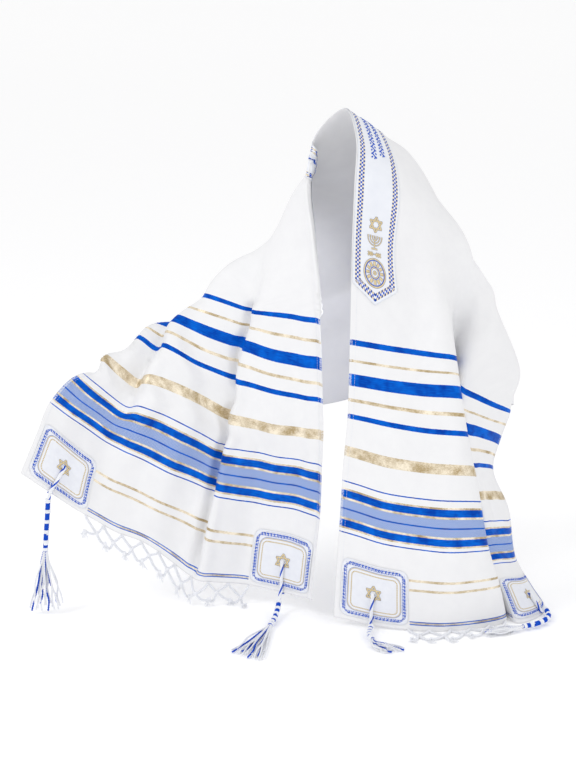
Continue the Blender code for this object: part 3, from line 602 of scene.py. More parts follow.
weft_wave = node(tree, "ShaderNodeTexNoise", {"Vector": flat_map, "Scale": 260.0, "Detail": 1.0})
from_crown = node(tree, "ShaderNodeMath", {0: flat_place[1]}, operation="ABSOLUTE")
from_hem = node(tree, "ShaderNodeMath", {0: HALF_LENGTH, 1: from_crown}, operation="SUBTRACT")
from_hem = node(tree, "ShaderNodeMath", {0: weft_wave, 1: WEFT_WAVE, 2: from_hem},
                operation="MULTIPLY_ADD")
middle_part = node(tree, "ShaderNodeMath", {0: flat_place[0], 1: sum(BETWEEN_PATCHES) / 2,
                                            2: (BETWEEN_PATCHES[1] - BETWEEN_PATCHES[0]) / 2},
                   operation="COMPARE")
masks = {}
for yarn, start, end, whole in STRIPES:
    stripe = node(tree, "ShaderNodeMath", {0: from_hem, 1: (start + end) / 2 * MM + WEFT_WAVE / 2,
                                           2: (end - start) / 2 * MM}, operation="COMPARE")
    if not whole:
        stripe = node(tree, "ShaderNodeMath", {0: stripe, 1: middle_part}, operation="MULTIPLY")
    if yarn in masks:
        stripe = node(tree, "ShaderNodeMath", {0: masks[yarn], 1: stripe}, operation="ADD")
    masks[yarn] = stripe
print(len(STRIPES), "stripes a side from", len(masks), "yarns,", len(tree.nodes), "nodes so far")

# %% [markdown]
# Close up, no stripe is one flat colour. The gold thread glitters in grains a few millimetres
# long that lie along the weft; these grains are painted glints, near-white flecks in its colour
# that stand for light caught by the metal. The sky blue is a blue and white cross weave. The satin
# shows faint lines of thread, and its blue turns lighter in broad patches, a painted sheen. Noise
# stretched in the flat map gives each its grain. At the edges of the cloth the selvedge weave shows
# more white, so the stripes turn paler there.

# %% Grain of each yarn, with painted glints on the gold and painted sheen on the satin
grain_place = node(tree, "ShaderNodeMapping", {"Vector": flat_map, "Scale": (0.45, 1.0, 1.0)})
glitter = node(tree, "ShaderNodeTexNoise", {"Vector": grain_place, "Scale": 620.0,
                                            "Detail": 2.0, "Roughness": 0.8})
patches_of_light = node(tree, "ShaderNodeTexNoise", {"Vector": flat_map, "Scale": 36.0,
                                                     "Detail": 2.0, "Roughness": 0.6})
# Painted glints: the gold's colour runs to near white where the glitter noise is high.
glitter_mix = node(tree, "ShaderNodeMath", {0: patches_of_light, 1: 1.5, 2: glitter},
                   operation="MULTIPLY_ADD")
gold_painted_glints = node(tree, "ShaderNodeMapRange", {"Value": glitter_mix, "From Min": 0.98,
                                               "From Max": 1.52})
gold = node(tree, "ShaderNodeMix", {0: gold_painted_glints, 6: linear("AD9871"), 7: linear("F6EBD6")},
            data_type="RGBA")
cross_weave = node(tree, "ShaderNodeTexChecker", {
    "Vector": flat_map, "Scale": 620.0, "Color1": linear("6E8BC6"), "Color2": linear("B2C0E0")})
thread_place = node(tree, "ShaderNodeMapping", {"Vector": flat_map, "Scale": (0.06, 1.0, 1.0)})
satin_lines = node(tree, "ShaderNodeTexNoise", {"Vector": thread_place, "Scale": 900.0,
                                                "Detail": 1.0})
# Painted sheen: broad patches of the satin are a lighter blue, over faint real lines of thread.
satin_threads_and_painted_sheen = node(tree, "ShaderNodeMath", {0: patches_of_light, 1: 1.6, 2: satin_lines},
                   operation="MULTIPLY_ADD")
satin_threads_and_painted_sheen = node(tree, "ShaderNodeMapRange", {"Value": satin_threads_and_painted_sheen, "From Min": 0.95,
                                                "From Max": 1.65})
satin = node(tree, "ShaderNodeMix", {0: satin_threads_and_painted_sheen, 6: linear("003AA0"), 7: linear("0268D6")},
             data_type="RGBA")
colour = node(tree, "ShaderNodeMix", {0: patches_of_light, 6: linear("E6E6E8"),
                                      7: linear("EDEDEE")}, data_type="RGBA")

# %% Layers of colour, selvedge and shine
SELVEDGE_FROM, SELVEDGE_FULL = 5.5 * MM, 4.5 * MM
to_edge = node(tree, "ShaderNodeMath", {0: flat_place[0], 1: WIDTH / 2}, operation="SUBTRACT")
to_edge = node(tree, "ShaderNodeMath", {0: to_edge}, operation="ABSOLUTE")
selvedge = node(tree, "ShaderNodeMapRange", {
    "Value": to_edge, "From Min": WIDTH / 2 - SELVEDGE_FROM,
    "From Max": WIDTH / 2 - SELVEDGE_FULL})
speckle = node(tree, "ShaderNodeMath", {0: glitter, 1: 0.5}, operation="GREATER_THAN")
paler = node(tree, "ShaderNodeMath", {0: selvedge, 1: speckle}, operation="MULTIPLY")
keep = node(tree, "ShaderNodeMath", {0: paler, 1: -0.75, 2: 1.0}, operation="MULTIPLY_ADD")
for yarn, layer in (("sky", cross_weave), ("gold", gold), ("blue", satin)):
    masks[yarn] = node(tree, "ShaderNodeMath", {0: masks[yarn], 1: keep}, operation="MULTIPLY")
    colour = node(tree, "ShaderNodeMix", {0: masks[yarn], 6: colour, 7: layer},
                  data_type="RGBA")
shine = node(tree, "ShaderNodeMath", {0: masks["blue"], 1: -0.34, 2: 0.78},
             operation="MULTIPLY_ADD")
shine = node(tree, "ShaderNodeMath", {0: masks["gold"], 1: -0.36, 2: shine},
             operation="MULTIPLY_ADD")
metal = node(tree, "ShaderNodeMath", {0: masks["gold"], 1: 0.35}, operation="MULTIPLY")
feed(tree, shader, {"Base Color": colour, "Roughness": shine, "Metallic": metal})

# %% [markdown]
# The weave itself is a plain one: threads over and under each other about half a millimetre
# apart. That is finer than this view can show, so it is drawn at 1.4 mm, as a faint bump.

# %% Weave bump
THREADS, BUMP_DEPTH = 1.4 * MM, 0.4 * MM
weave = node(tree, "ShaderNodeTexChecker", {"Vector": flat_map, "Scale": 1 / THREADS})
slubs = node(tree, "ShaderNodeTexNoise", {"Vector": flat_map, "Scale": 320.0, "Detail": 3.0})
weave_height = node(tree, "ShaderNodeMath", {0: weave.outputs["Fac"], 1: 0.5, 2: slubs},
                    operation="MULTIPLY_ADD")
bump = node(tree, "ShaderNodeBump", {"Height": weave_height, "Strength": 0.18,
                                     "Distance": BUMP_DEPTH})
feed(tree, shader, {"Normal": bump})
cloth.data.materials.append(material_cloth)
print(material_cloth.name, "has", len(tree.nodes), "nodes")

# %% [markdown]
# ## Satin ribbon with a chequered border
# The neckband is satin, smoother than the cloth and with a cooler white. Its border is a
# chequer three rows wide that runs round the whole band: blue squares all over, darker in the
# outer rows, with gold between them there and white in the middle row. The two numbers
# stored at each point make it simple: how far inside the edge picks the row of the chequer, how
# far along picks the column, and blue falls where row and column add to an even number.

# %% Satin, and the neckband's border
def satin_material(name, thread_scale, cloud_scale, dark, light):
    """Woven satin. Also returns the nodes that a pattern on it needs."""
    material, tree, shader = new_material(name, Roughness=0.5, Specular_IOR_Level=0.3)
    inside, run = [node(tree, "ShaderNodeAttribute", attribute_name=kept).outputs["Fac"]
                   for kept in ("inside", "run")]
    flat_map = node(tree, "ShaderNodeUVMap", uv_map="flat")
    thread = node(tree, "ShaderNodeTexNoise", {"Vector": flat_map, "Scale": thread_scale,
                                               "Detail": 2.0})
    cloud = node(tree, "ShaderNodeTexNoise", {"Vector": flat_map, "Scale": cloud_scale})
    ground = node(tree, "ShaderNodeMix", {0: cloud, 6: linear(dark), 7: linear(light)},
                  data_type="RGBA")
    bump = node(tree, "ShaderNodeBump", {"Height": thread, "Strength": 0.15,
                                         "Distance": BUMP_DEPTH})
    feed(tree, shader, {"Normal": bump})
    return material, tree, shader, inside, run, thread, ground


CHECK, BORDER_FROM = 3.45 * MM, 4.8 * MM
material_band, tree, shader, inside, run, thread, ground = satin_material(
    "satin_ribbon_chequered", 600.0, 40.0, "DFE2EA", "ECEEF3")
steps = []
for number, start in ((inside, BORDER_FROM), (run, 0.0)):
    moved = node(tree, "ShaderNodeMath", {0: number, 1: start}, operation="SUBTRACT")
    scaled = node(tree, "ShaderNodeMath", {0: moved, 1: CHECK}, operation="DIVIDE")
    steps.append(node(tree, "ShaderNodeMath", {0: scaled}, operation="FLOOR"))
total = node(tree, "ShaderNodeMath", {0: steps[0], 1: steps[1]}, operation="ADD")
odd = node(tree, "ShaderNodeMath", {0: total, 1: 2.0}, operation="FLOORED_MODULO")
in_border = node(tree, "ShaderNodeMath", {0: steps[0], 1: 1.0, 2: 1.2}, operation="COMPARE")
middle_row = node(tree, "ShaderNodeMath", {0: steps[0], 1: 1.0, 2: 0.2}, operation="COMPARE")
gold = node(tree, "ShaderNodeMix", {0: thread, 6: linear("D6BE84"), 7: linear("F6EDD8")},
            data_type="RGBA")
between = node(tree, "ShaderNodeMix", {0: middle_row, 6: gold, 7: ground}, data_type="RGBA")
blue = node(tree, "ShaderNodeMix", {0: middle_row, 6: linear("1A479C"), 7: linear("0050C4")},
            data_type="RGBA")
checks = node(tree, "ShaderNodeMix", {0: odd, 6: blue, 7: between}, data_type="RGBA")
colour = node(tree, "ShaderNodeMix", {0: in_border, 6: ground, 7: checks}, data_type="RGBA")
feed(tree, shader, {"Base Color": colour})
band.data.materials.append(material_band)
print("chequer squares of", CHECK / MM, "mm, three rows from", BORDER_FROM / MM, "mm in")

# %% [markdown]
# ## Satin patches with rings of thread
# Each patch has woven rings, one inside another: a fine dotted line near the edge, a fine
# double line, and a broad gold dashed line. A ring is a Compare on the stored distance inside
# the edge, and its dashes come from a sine wave along the edge.

# %% The patches' material: rings as (from edge, half width, wave length, share, colour)
RINGS = [
    (2.6, 0.45, 2.6, 0.2, "8F8A80"),
    (12.6, 0.45, 0.0, 0.0, "5F74AE"),
    (14.2, 0.6, 0.0, 0.0, "C2AD7C"),
    (19.6, 1.1, 4.8, -0.55, "BFA668"),
]
material_patch, tree, shader, inside, run, thread, colour = satin_material(
    "satin_patch_with_thread_rings", 500.0, 90.0, "DEE0E8", "EAECF1")
for ring_inside, half, wave, share, ring_colour in RINGS:
    mask = node(tree, "ShaderNodeMath", {0: inside, 1: ring_inside * MM, 2: half * MM},
                operation="COMPARE")
    if wave:
        phase = node(tree, "ShaderNodeMath", {0: run, 1: math.tau / (wave * MM)},
                     operation="MULTIPLY")
        height = node(tree, "ShaderNodeMath", {0: phase}, operation="SINE")
        dash = node(tree, "ShaderNodeMath", {0: height, 1: share}, operation="GREATER_THAN")
        mask = node(tree, "ShaderNodeMath", {0: mask, 1: dash}, operation="MULTIPLY")
    colour = node(tree, "ShaderNodeMix", {0: mask, 6: colour, 7: linear(ring_colour)},
                  data_type="RGBA")
feed(tree, shader, {"Base Color": colour})
for patch in patches.values():
    patch.data.materials.append(material_patch)
print(len(RINGS), "rings on", len(patches), "patches")

# %% [markdown]
# ## Thread and yarn materials
# Sewing thread, fringe yarn and tassel cord are the same two colours in different thickness.
# Spun yarn is matt and a little fuzzy, so it has high roughness, sheen, and mottled colour.
# Gold embroidery thread is metallised film and stays shiny.

# %% Yarn materials
def yarn_material(name, dark, light, **values):
    """Spun thread, mottled between two tones of one colour."""
    material, tree, shader = new_material(name, **values)
    place = node(tree, "ShaderNodeTexCoord").outputs["Object"]
    mottle = node(tree, "ShaderNodeTexNoise", {"Vector": place, "Scale": 450.0, "Detail": 2.0})
    colour = node(tree, "ShaderNodeMix", {0: mottle, 6: linear(dark), 7: linear(light)},
                  data_type="RGBA")
    bump = node(tree, "ShaderNodeBump", {"Height": mottle, "Strength": 0.3,
                                         "Distance": BUMP_DEPTH})
    feed(tree, shader, {"Base Color": colour, "Normal": bump})
    return material


white_yarn = yarn_material("spun_cotton_yarn_white", "E4E6EC", "F6F7FA", Roughness=0.85,
                           Sheen_Weight=0.2, Sheen_Roughness=0.6)
blue_yarn = yarn_material("spun_cotton_yarn_royal_blue", "0643B4", "1557D2", Roughness=0.75,
                          Specular_IOR_Level=0.2)
gold_thread = yarn_material("metallised_gold_thread", "C4AA72", "F0E0B6", Roughness=0.42,
                            Metallic=0.25)
blue_thread = yarn_material("rayon_thread_blue", "0848BC", "1E62D4", Roughness=0.5,
                            Specular_IOR_Level=0.2)
slate_thread = yarn_material("rayon_thread_slate_blue", "66779E", "8493B6", Roughness=0.5)
sewing_thread = yarn_material("polyester_sewing_thread", "D3D7E2", "E4E7EF", Roughness=0.6)
print([m.name for m in (white_yarn, blue_yarn, gold_thread, blue_thread, sewing_thread)])

# %% [markdown]
# ## A Geometry Nodes tree that spins yarn
# A rope is a few plies laid round each other. Curve to Mesh sweeps a profile along a path, and
# the profile may be several circles. When the path's tilt grows with its length, the circles
# turn as they travel and become twisted plies. The tree has an input for each size, so the same
# tree spins fringe yarn, tassel cord and single strands.

# %% The yarn tree
def new_tree(name, numbers):
    """A Geometry Nodes tree with a geometry and a material input and named number inputs."""
    tree = bpy.data.node_groups.new(name, "GeometryNodeTree")
    tree.interface.new_socket("Geometry", in_out="INPUT", socket_type="NodeSocketGeometry")
    for key, (kind, value) in numbers.items():
        tree.interface.new_socket(key, in_out="INPUT",
                                  socket_type="NodeSocket" + kind).default_value = value
    tree.interface.new_socket("Material", in_out="INPUT", socket_type="NodeSocketMaterial")
    tree.interface.new_socket("Geometry", in_out="OUTPUT", socket_type="NodeSocketGeometry")
    return tree, node(tree, "NodeGroupInput").outputs, node(tree, "NodeGroupOutput")


def finish_tree(tree, shape, given, made):
    """Ends a tree: smooth faces, real copies, the material, and the way out."""
    smooth = node(tree, "GeometryNodeSetShadeSmooth", {"Geometry": shape})
    real = node(tree, "GeometryNodeRealizeInstances", {0: smooth})
    coloured = node(tree, "GeometryNodeSetMaterial", {"Geometry": real,
                                                      "Material": given["Material"]})
    feed(tree, made, {0: coloured})


yarn_tree, given, made = new_tree("twisted_yarn", {
    "Ply Radius": ("Float", 0.0007), "Ply Offset": ("Float", 0.0007), "Plies Laid": ("Int", 2),
    "Plies In Rope": ("Int", 2), "First Ply": ("Int", 0), "Twist Pitch": ("Float", 0.008),
    "Step": ("Float", 0.0015), "Sides": ("Int", 5)})
path = node(yarn_tree, "GeometryNodeResampleCurve", {"Curve": given["Geometry"],
                                                     "Length": given["Step"]}, mode="LENGTH")
walked = node(yarn_tree, "GeometryNodeSplineParameter").outputs["Length"]
turns = node(yarn_tree, "ShaderNodeMath", {0: walked, 1: given["Twist Pitch"]},
             operation="DIVIDE")
tilt = node(yarn_tree, "ShaderNodeMath", {0: turns, 1: math.tau}, operation="MULTIPLY")
tilted = node(yarn_tree, "GeometryNodeSetCurveTilt", {"Curve": path, "Tilt": tilt})
number = node(yarn_tree, "GeometryNodeInputIndex")
ply = node(yarn_tree, "ShaderNodeMath", {0: number, 1: given["First Ply"]}, operation="ADD")
part = node(yarn_tree, "ShaderNodeMath", {0: ply, 1: given["Plies In Rope"]},
            operation="DIVIDE")
angle = node(yarn_tree, "ShaderNodeMath", {0: part, 1: math.tau}, operation="MULTIPLY")
spot = []
for way in ("COSINE", "SINE"):
    unit = node(yarn_tree, "ShaderNodeMath", {0: angle}, operation=way)
    spot.append(node(yarn_tree, "ShaderNodeMath", {0: unit, 1: given["Ply Offset"]},
                     operation="MULTIPLY"))
centre = node(yarn_tree, "ShaderNodeCombineXYZ", {0: spot[0], 1: spot[1]})
centres = node(yarn_tree, "GeometryNodePoints", {"Count": given["Plies Laid"],
                                                 "Position": centre})
circle = node(yarn_tree, "GeometryNodeCurvePrimitiveCircle", {"Resolution": given["Sides"],
                                                              "Radius": given["Ply Radius"]})
circles = node(yarn_tree, "GeometryNodeInstanceOnPoints", {"Points": centres,
                                                           "Instance": circle})
profile = node(yarn_tree, "GeometryNodeRealizeInstances", {0: circles})
swept = node(yarn_tree, "GeometryNodeCurveToMesh", {
    "Curve": tilted, "Profile Curve": profile, "Fill Caps": True})
finish_tree(yarn_tree, swept, given, made)
print(yarn_tree.name, "has", len(yarn_tree.nodes), "nodes")


# %% Running a tree on paths and keeping the plain mesh
def grow(name, paths, tree, material, **values):
    """Runs a Geometry Nodes tree on paths and returns the result as a plain mesh object."""
    curve = bpy.data.curves.new(name, "CURVE")
    curve.dimensions = "3D"
    for path in paths:
        spline = curve.splines.new("POLY")
        spline.points.add(len(path) - 1)
        spline.points.foreach_set("co", np.hstack([path, np.ones((len(path), 1))]).ravel())
    guide = bpy.data.objects.new(name + "_guide", curve)
    bpy.context.scene.collection.objects.link(guide)
    grower = guide.modifiers.new("grow", "NODES")
    grower.node_group = tree
    sockets = {item.name: item.identifier for item in tree.interface.items_tree
               if item.item_type == "SOCKET" and item.in_out == "INPUT"}
    grower[sockets["Material"]] = material
    for key, value in values.items():
        grower[sockets[key.replace("_", " ")]] = value
    shape = guide.evaluated_get(bpy.context.evaluated_depsgraph_get())
    mesh = bpy.data.meshes.new_from_object(shape)
    bpy.data.objects.remove(guide)
    bpy.data.curves.remove(curve)
    piece = bpy.data.objects.new(name, mesh)
    mesh.name = name
    bpy.context.scene.collection.objects.link(piece)
    return piece


def spin(name, paths, yarn, radius, step, sides, offset=0.0, laid=1, rope=1, twist=1000,
         first=0):
    """Spins yarn along paths. Sizes are in millimetres, and it is one straight ply unless said."""
    return grow(name, paths, yarn_tree, yarn, Ply_Radius=radius * MM, Ply_Offset=offset * MM,
                Plies_Laid=laid, Plies_In_Rope=rope, First_Ply=first, Twist_Pitch=twist * MM,
                Step=step * MM, Sides=sides)


def wound(route, radius, pitch, start, end, phase=0.0):
    """A helix round part of a route, for a strand wound round a core."""
    at = np.linspace(start, end, max(8, int((end - start) / pitch * 12)))
    centre = read_line(at, walk(route), route)
    ahead = np.gradient(centre, axis=0)
    ahead /= np.linalg.norm(ahead, axis=1, keepdims=True)
    aside = np.cross(ahead, [0.31, 0.22, 0.93])
    aside /= np.linalg.norm(aside, axis=1, keepdims=True)
    up = np.cross(ahead, aside)
    turn = phase + math.tau * (at - start)[:, None] / pitch
    return centre + radius * (np.cos(turn) * aside + np.sin(turn) * up)


# %% [markdown]
# ## Embroidered ornaments
# The band and the patches carry embroidery. Each figure is a list of strokes on a flat sheet, in
# millimetres from its middle: a line of points and the stroke's width. A stroke becomes a ribbon
# of quads, laid on the cloth by the same function as the sheets, and gets a wall as
# thin as thread. A wider stroke in a darker thread below makes the outline.

# %% Laying strokes on the cloth
STROKE_STEP = 2.5 * MM
THREAD_WALL = 0.3 * MM
OUTLINE_HEIGHT, FIGURE_HEIGHT = 1.25 * MM, 1.25 * MM + 0.15 * MM


def ring_points(radius, count=48, tall=1.0, start=0.0, sweep=math.tau):
    """Points along an arc, with x across and y along the cloth towards the hem."""
    angles = start + np.linspace(0, sweep, count + 1)
    return np.stack([radius * np.cos(angles), tall * radius * np.sin(angles)], axis=-1)


def embroider(name, strokes, places, height, widen, material):
    """Lays strokes at places given as (side, along, across), and thickens them."""
    flats, faces, count = [], [], 0
    for side, along, across in places:
        for points, width in strokes:
            points = np.asarray(points, float) * MM
            walked = walk(points)
            at = np.unique(np.concatenate([walked, np.arange(0, walked[-1], STROKE_STEP)]))
            line = read_line(at, walked, points)
            ahead = np.gradient(line, axis=0)
            if np.allclose(line[0], line[-1]):
                ahead[0] = ahead[-1] = line[1] - line[-2]
            ahead /= np.linalg.norm(ahead, axis=1, keepdims=True)
            beside = ahead[:, ::-1] * [1, -1] * (width + widen) / 2 * MM
            pair = np.stack([line - beside, line + beside], axis=1).reshape(-1, 2)
            flats.append(np.stack([side * (along + pair[:, 1]), across + pair[:, 0]], axis=-1))
            for k in range(len(line) - 1):
                quad = [count + 2 * k + step for step in (0, 1, 3, 2)]
                faces.append(quad if side < 0 else quad[::-1])
            count += 2 * len(line)
    flats = np.concatenate(flats)
    piece = make_sheet(name, flats[:, 0], flats[:, 1], height, faces, THREAD_WALL, 1)
    piece.data.materials.append(material)
    return piece


def triangle(radius, turn):
    return ring_points(radius, 3, start=turn)


# %% The figures
star = [(triangle(13.5, math.pi / 2), 2.6), (triangle(13.5, -math.pi / 2), 2.6)]
lampstand = [(ring_points(r, 14, start=0.0, sweep=math.pi) + [0, -7], 1.4)
             for r in (4.6, 9.2, 13.8)]
lampstand += [([(0, -9), (0, 12)], 1.6), ([(-6, 12.5), (6, 12.5)], 2.4)]
lampstand += [([(x, -10.6), (x, -6.8)], 2.0) for x in (-13.8, -9.2, -4.6, 0, 4.6, 9.2, 13.8)]
sprigs = [([(-13, 0), (13, 0)], 1.2)]
sprigs += [([(x, 0), (x + 3.0 * (1 if x > 0 else -1), 3.4 * way)], 2.2)
           for x in (-10, -6.5, -3, 3, 6.5, 10) for way in (-1, 1)]
rosette = [(ring_points(20.5, 56, tall=1.16), 2.2), (ring_points(7.5, 24, tall=1.16), 1.8),
           (ring_points(2.0, 12, tall=1.16), 2.4)]
for k in range(12):
    way = np.array([math.cos(k * math.tau / 12), 1.16 * math.sin(k * math.tau / 12)])
    rosette.append(([way * 10.2, way * 13.2, way * 17.0], 4.4))
vine = [([(2.3 * math.sin(y / 2.1), y) for y in np.arange(-46, 46.1, 1.0)], 1.9)]
vine += [([(way * 2.8, y), (way * 5.4, y + 2.4)], 2.4)
         for k, y in enumerate(np.arange(-44, 45, 6.6)) for way in (-1, 1)]
ornaments = {"neckband": []}
for name, figure, along, across, tone, outline_tone in (
        ("star", star, 219, 45, gold_thread, slate_thread),
        ("lampstand", lampstand, 249, 45, gold_thread, slate_thread),
        ("sprigs", sprigs, 271, 45, gold_thread, slate_thread),
        ("rosette", rosette, 303, 45, gold_thread, slate_thread),
        ("rosette_ring", [(ring_points(8.9, 32, tall=1.16), 1.1),
                          (ring_points(18.3, 56, tall=1.16), 1.1)], 303, 45, blue_thread, None),
        ("vine", vine, 58, 36, blue_thread, None), ("second_vine", vine, 50, 55, blue_thread, None)):
    places = [(side, (along + (26 if side < 0 and "vine" in name else 0)) * MM, across * MM)
              for side in (-1, 1)]
    ornaments["neckband"].append(embroider("embroidered_" + name, figure, places,
                                           FIGURE_HEIGHT, 0.0, tone))
    if outline_tone:
        ornaments["neckband"].append(embroider(f"embroidered_{name}_outline", figure, places,
                                               OUTLINE_HEIGHT, 1.0, outline_tone))
print(len(ornaments["neckband"]), "layers of embroidery on the neckband")

# %% [markdown]
# Each patch has the same gold star round its eyelet, and between its rings a row of blue hooks
# with a dot in each hollow. A hook is most of one wave of a sine of the distance walked round
# the patch.

# %% The patches' ornaments
HOOKS_IN, HOOKS_ROUND, HOOK_POINTS = 7.4 * MM, 7 * MM, 480
WAVE_LENGTH, WAVE_HEIGHT, HOOK_THICK = 6.4 * MM, 2.5 * MM, 1.7
DOT_ASIDE, DOT_HALF = 1.9 * MM, 0.8 * MM
inner_outline, inner_walked = rounded_outline(PATCH_ALONG / 2 - HOOKS_IN,
                                              PATCH_ACROSS / 2 - HOOKS_IN, HOOKS_ROUND,
                                              HOOK_POINTS)
out_way = np.roll(inner_outline, 1, axis=0) - np.roll(inner_outline, -1, axis=0)
out_way = out_way[:, ::-1] * [-1, 1] / np.linalg.norm(out_way, axis=1, keepdims=True)
waves = round(inner_walked[-1] / WAVE_LENGTH)
phase = inner_walked / (inner_walked[-1] + inner_walked[1]) * waves * math.tau
wave = inner_outline + out_way * WAVE_HEIGHT * np.sin(phase)[:, None]
wave = np.vstack([wave, wave[:1]])[:, ::-1] / MM
hooks = []
for k in range(waves):
    first, last = [int((k + share) / waves * HOOK_POINTS) for share in (0.08, 0.86)]
    hooks.append((wave[first:last + 1], HOOK_THICK))
dots = []
for k in range(2 * waves):
    at = int((k + 0.5) / (2 * waves) * HOOK_POINTS)
    middle = inner_outline[at] - out_way[at] * DOT_ASIDE * (1 if k % 2 == 0 else -1)
    reach = np.roll(out_way[at], 1) * [1, -1] * DOT_HALF
    dots.append((np.array([middle - reach, middle + reach])[:, ::-1] / MM, HOOK_THICK))
patch_star = [(triangle(15, math.pi / 2), 2.7), (triangle(15, -math.pi / 2), 2.7)]
for corner, (side, hole_across) in CORNERS.items():
    place = [(side, EYELET_ALONG, hole_across)]
    ornaments["corner_patch_" + corner] = [
        embroider(f"patch_star_{corner}", patch_star, place, FIGURE_HEIGHT, 0.0, gold_thread),
        embroider(f"patch_star_outline_{corner}", patch_star, place, OUTLINE_HEIGHT, 1.0,
                  slate_thread),
        embroider(f"patch_wave_{corner}", hooks + dots, place, OUTLINE_HEIGHT, 0.0, blue_thread)]
print(waves, "waves round each patch")

# %% [markdown]
# ## Stitches
# A running stitch is one short thread after another along a line. A second tree makes it: it
# cuts a path into even steps, turns a small capsule to the path's way at each, then makes the
# copies real. The pitch, length and thickness are its inputs.

# %% The stitch tree
stitch_tree, given, made = new_tree("running_stitches", {
    "Pitch": ("Float", 0.0045), "Stitch Length": ("Float", 0.0032),
    "Thread Radius": ("Float", 0.0003)})
stops = node(stitch_tree, "GeometryNodeResampleCurve", {"Curve": given["Geometry"],
                                                        "Length": given["Pitch"]}, mode="LENGTH")
ball = node(stitch_tree, "GeometryNodeMeshUVSphere", {"Segments": 6, "Rings": 4, "Radius": 1.0})
half_stitch = node(stitch_tree, "ShaderNodeMath", {0: given["Stitch Length"], 1: 0.5},
                   operation="MULTIPLY")
stretch = node(stitch_tree, "ShaderNodeCombineXYZ", {
    0: given["Thread Radius"], 1: given["Thread Radius"], 2: half_stitch})
way = node(stitch_tree, "GeometryNodeInputTangent")
turned = node(stitch_tree, "FunctionNodeAlignRotationToVector", {"Vector": way}, axis="Z")
laid = node(stitch_tree, "GeometryNodeInstanceOnPoints", {
    "Points": stops, "Instance": ball, "Rotation": turned, "Scale": stretch})
finish_tree(stitch_tree, laid, given, made)
print(stitch_tree.name, "has", len(stitch_tree.nodes), "nodes")

# %% Stitch lines along the band, the patches and the cloth's long edges
BAND_SEAM_IN, PATCH_SEAM_IN = 1.8 * MM, 1.6 * MM
FRONT_SEAM_IN, BACK_SEAM_IN, SEAM_FROM_HEM = 11 * MM, 9 * MM, 3 * MM
SEAM_HEIGHT, CLOTH_SEAM_HEIGHT = 1.35 * MM, 0.1 * MM
BUTTONHOLE_RING, BUTTONHOLE_HEIGHT = 4.3 * MM, 1.0 * MM


def stitch(name, paths, pitch, long, radius):
    """Sews along paths. Sizes are in millimetres."""
    return grow(name, paths, stitch_tree, sewing_thread, Pitch=pitch * MM,
                Stitch_Length=long * MM, Thread_Radius=radius * MM)


low, high = BAND_FROM + BAND_SEAM_IN, BAND_FROM + BAND_WIDTH - BAND_SEAM_IN
end, tip = BAND_REACH - BAND_POINT, BAND_REACH - BAND_SEAM_IN
seam = [(end, low), (tip, (low + high) / 2), (end, high),
        (-end, high), (-tip, (low + high) / 2), (-end, low), (end, low)]
walked = walk(seam)
seam = read_line(np.linspace(0, 1, 300) * walked[-1], walked, seam)
ornaments["neckband"].append(
    stitch("neckband_stitches", [on_cloth(*seam.T, SEAM_HEIGHT)], 4.4, 3.2, 0.32))
inner, _ = rounded_outline(PATCH_ALONG / 2 - PATCH_SEAM_IN, PATCH_ACROSS / 2 - PATCH_SEAM_IN,
                           PATCH_ROUND - PATCH_SEAM_IN, 160)
inner = np.vstack([inner, inner[:1]])
eyelet_ring = ring_points(BUTTONHOLE_RING, 40)
for corner, (side, hole_across) in CORNERS.items():
    path = on_cloth(side * (EYELET_ALONG + inner[:, 0]), hole_across + inner[:, 1], SEAM_HEIGHT)
    ring = on_cloth(side * EYELET_ALONG + eyelet_ring[:, 0], hole_across + eyelet_ring[:, 1],
                    BUTTONHOLE_HEIGHT)
    ornaments["corner_patch_" + corner] += [
        stitch(f"patch_stitches_{corner}", [path], 4.0, 2.9, 0.32),
        spin(f"eyelet_buttonhole_{corner}",
             [wound(ring, 0.75 * MM, 0.9 * MM, 0.0, 0.99 * walk(ring)[-1])],
             white_yarn, 0.38, 0.7, 5)]
hem_along = np.linspace(-HALF_LENGTH + SEAM_FROM_HEM, HALF_LENGTH - SEAM_FROM_HEM, 600)
edge_paths = [on_cloth(hem_along, turned_in(hem_along) + FRONT_SEAM_IN, CLOTH_SEAM_HEIGHT),
              on_cloth(hem_along, WIDTH - BACK_SEAM_IN, CLOTH_SEAM_HEIGHT)]
ornaments["shawl_cloth"] = [stitch("edge_stitches", edge_paths, 4.6, 3.4, 0.28)]
print({key: len(pieces) for key, pieces in ornaments.items()}, "pieces of needlework")

# %% [markdown]
# ## Tassels
# A corner tassel is one bundle of long strands pulled through the eyelet and doubled. Just below
# the hem it is knotted and one blue strand is wound round the rest in sections, with a double
# knot between sections. Below the last knot the strands hang free. A soft cord takes
# the path of least bending, so each part is drawn as a smooth curve through a few points.

# %% Tassel routes, as (right, away, up) in millimetres
TASSELS = {
    "right_front": {"hem": 67, "looped": True,
                    "head": [(-114, -7, -898), (-118, -32, -909), (-123, -56, -914),
                             (-130, -84, -915)],
                    "tips": [(-196, -190, -919), (-141, -233, -919)]},
    "right_back": {"hem": 540, "looped": True,
                   "head": [(-533, 0, -704), (-535, -3, -735), (-538, -6, -770),
                            (-540, -8, -800)],
                   "tips": [(-571, -14, -908), (-511, -14, -905)]},
    "left_front": {"hem": 68, "looped": True,
                   "head": [(51, -96, -912), (48, -114, -914), (47, -133, -914),
                            (51, -153, -914)],
                   "tips": [(106, -182, -919), (62, -198, -919)]},
    "left_back": {"hem": 535, "looped": False,
                  "head": [(376, -8, -913), (378, -34, -914), (368, -60, -914),
                           (348, -80, -914), (324, -92, -914)],
                  "tips": [(262, -106, -915), (258, -122, -915)]},
}


def smooth_route(points, steps):
    """Evenly spaced points on a smooth curve through a route."""
    fine = smooth_line(np.array(points), 40 * len(points))
    walked = walk(fine)
    return read_line(np.linspace(0, walked[-1], steps + 1), walked, fine)


CORD_FRONT, CORD_BEHIND = 4.6 * MM, -4.2 * MM
CORD_CLEAR, STRAND_CLEAR = 3.2 * MM, 2.0 * MM


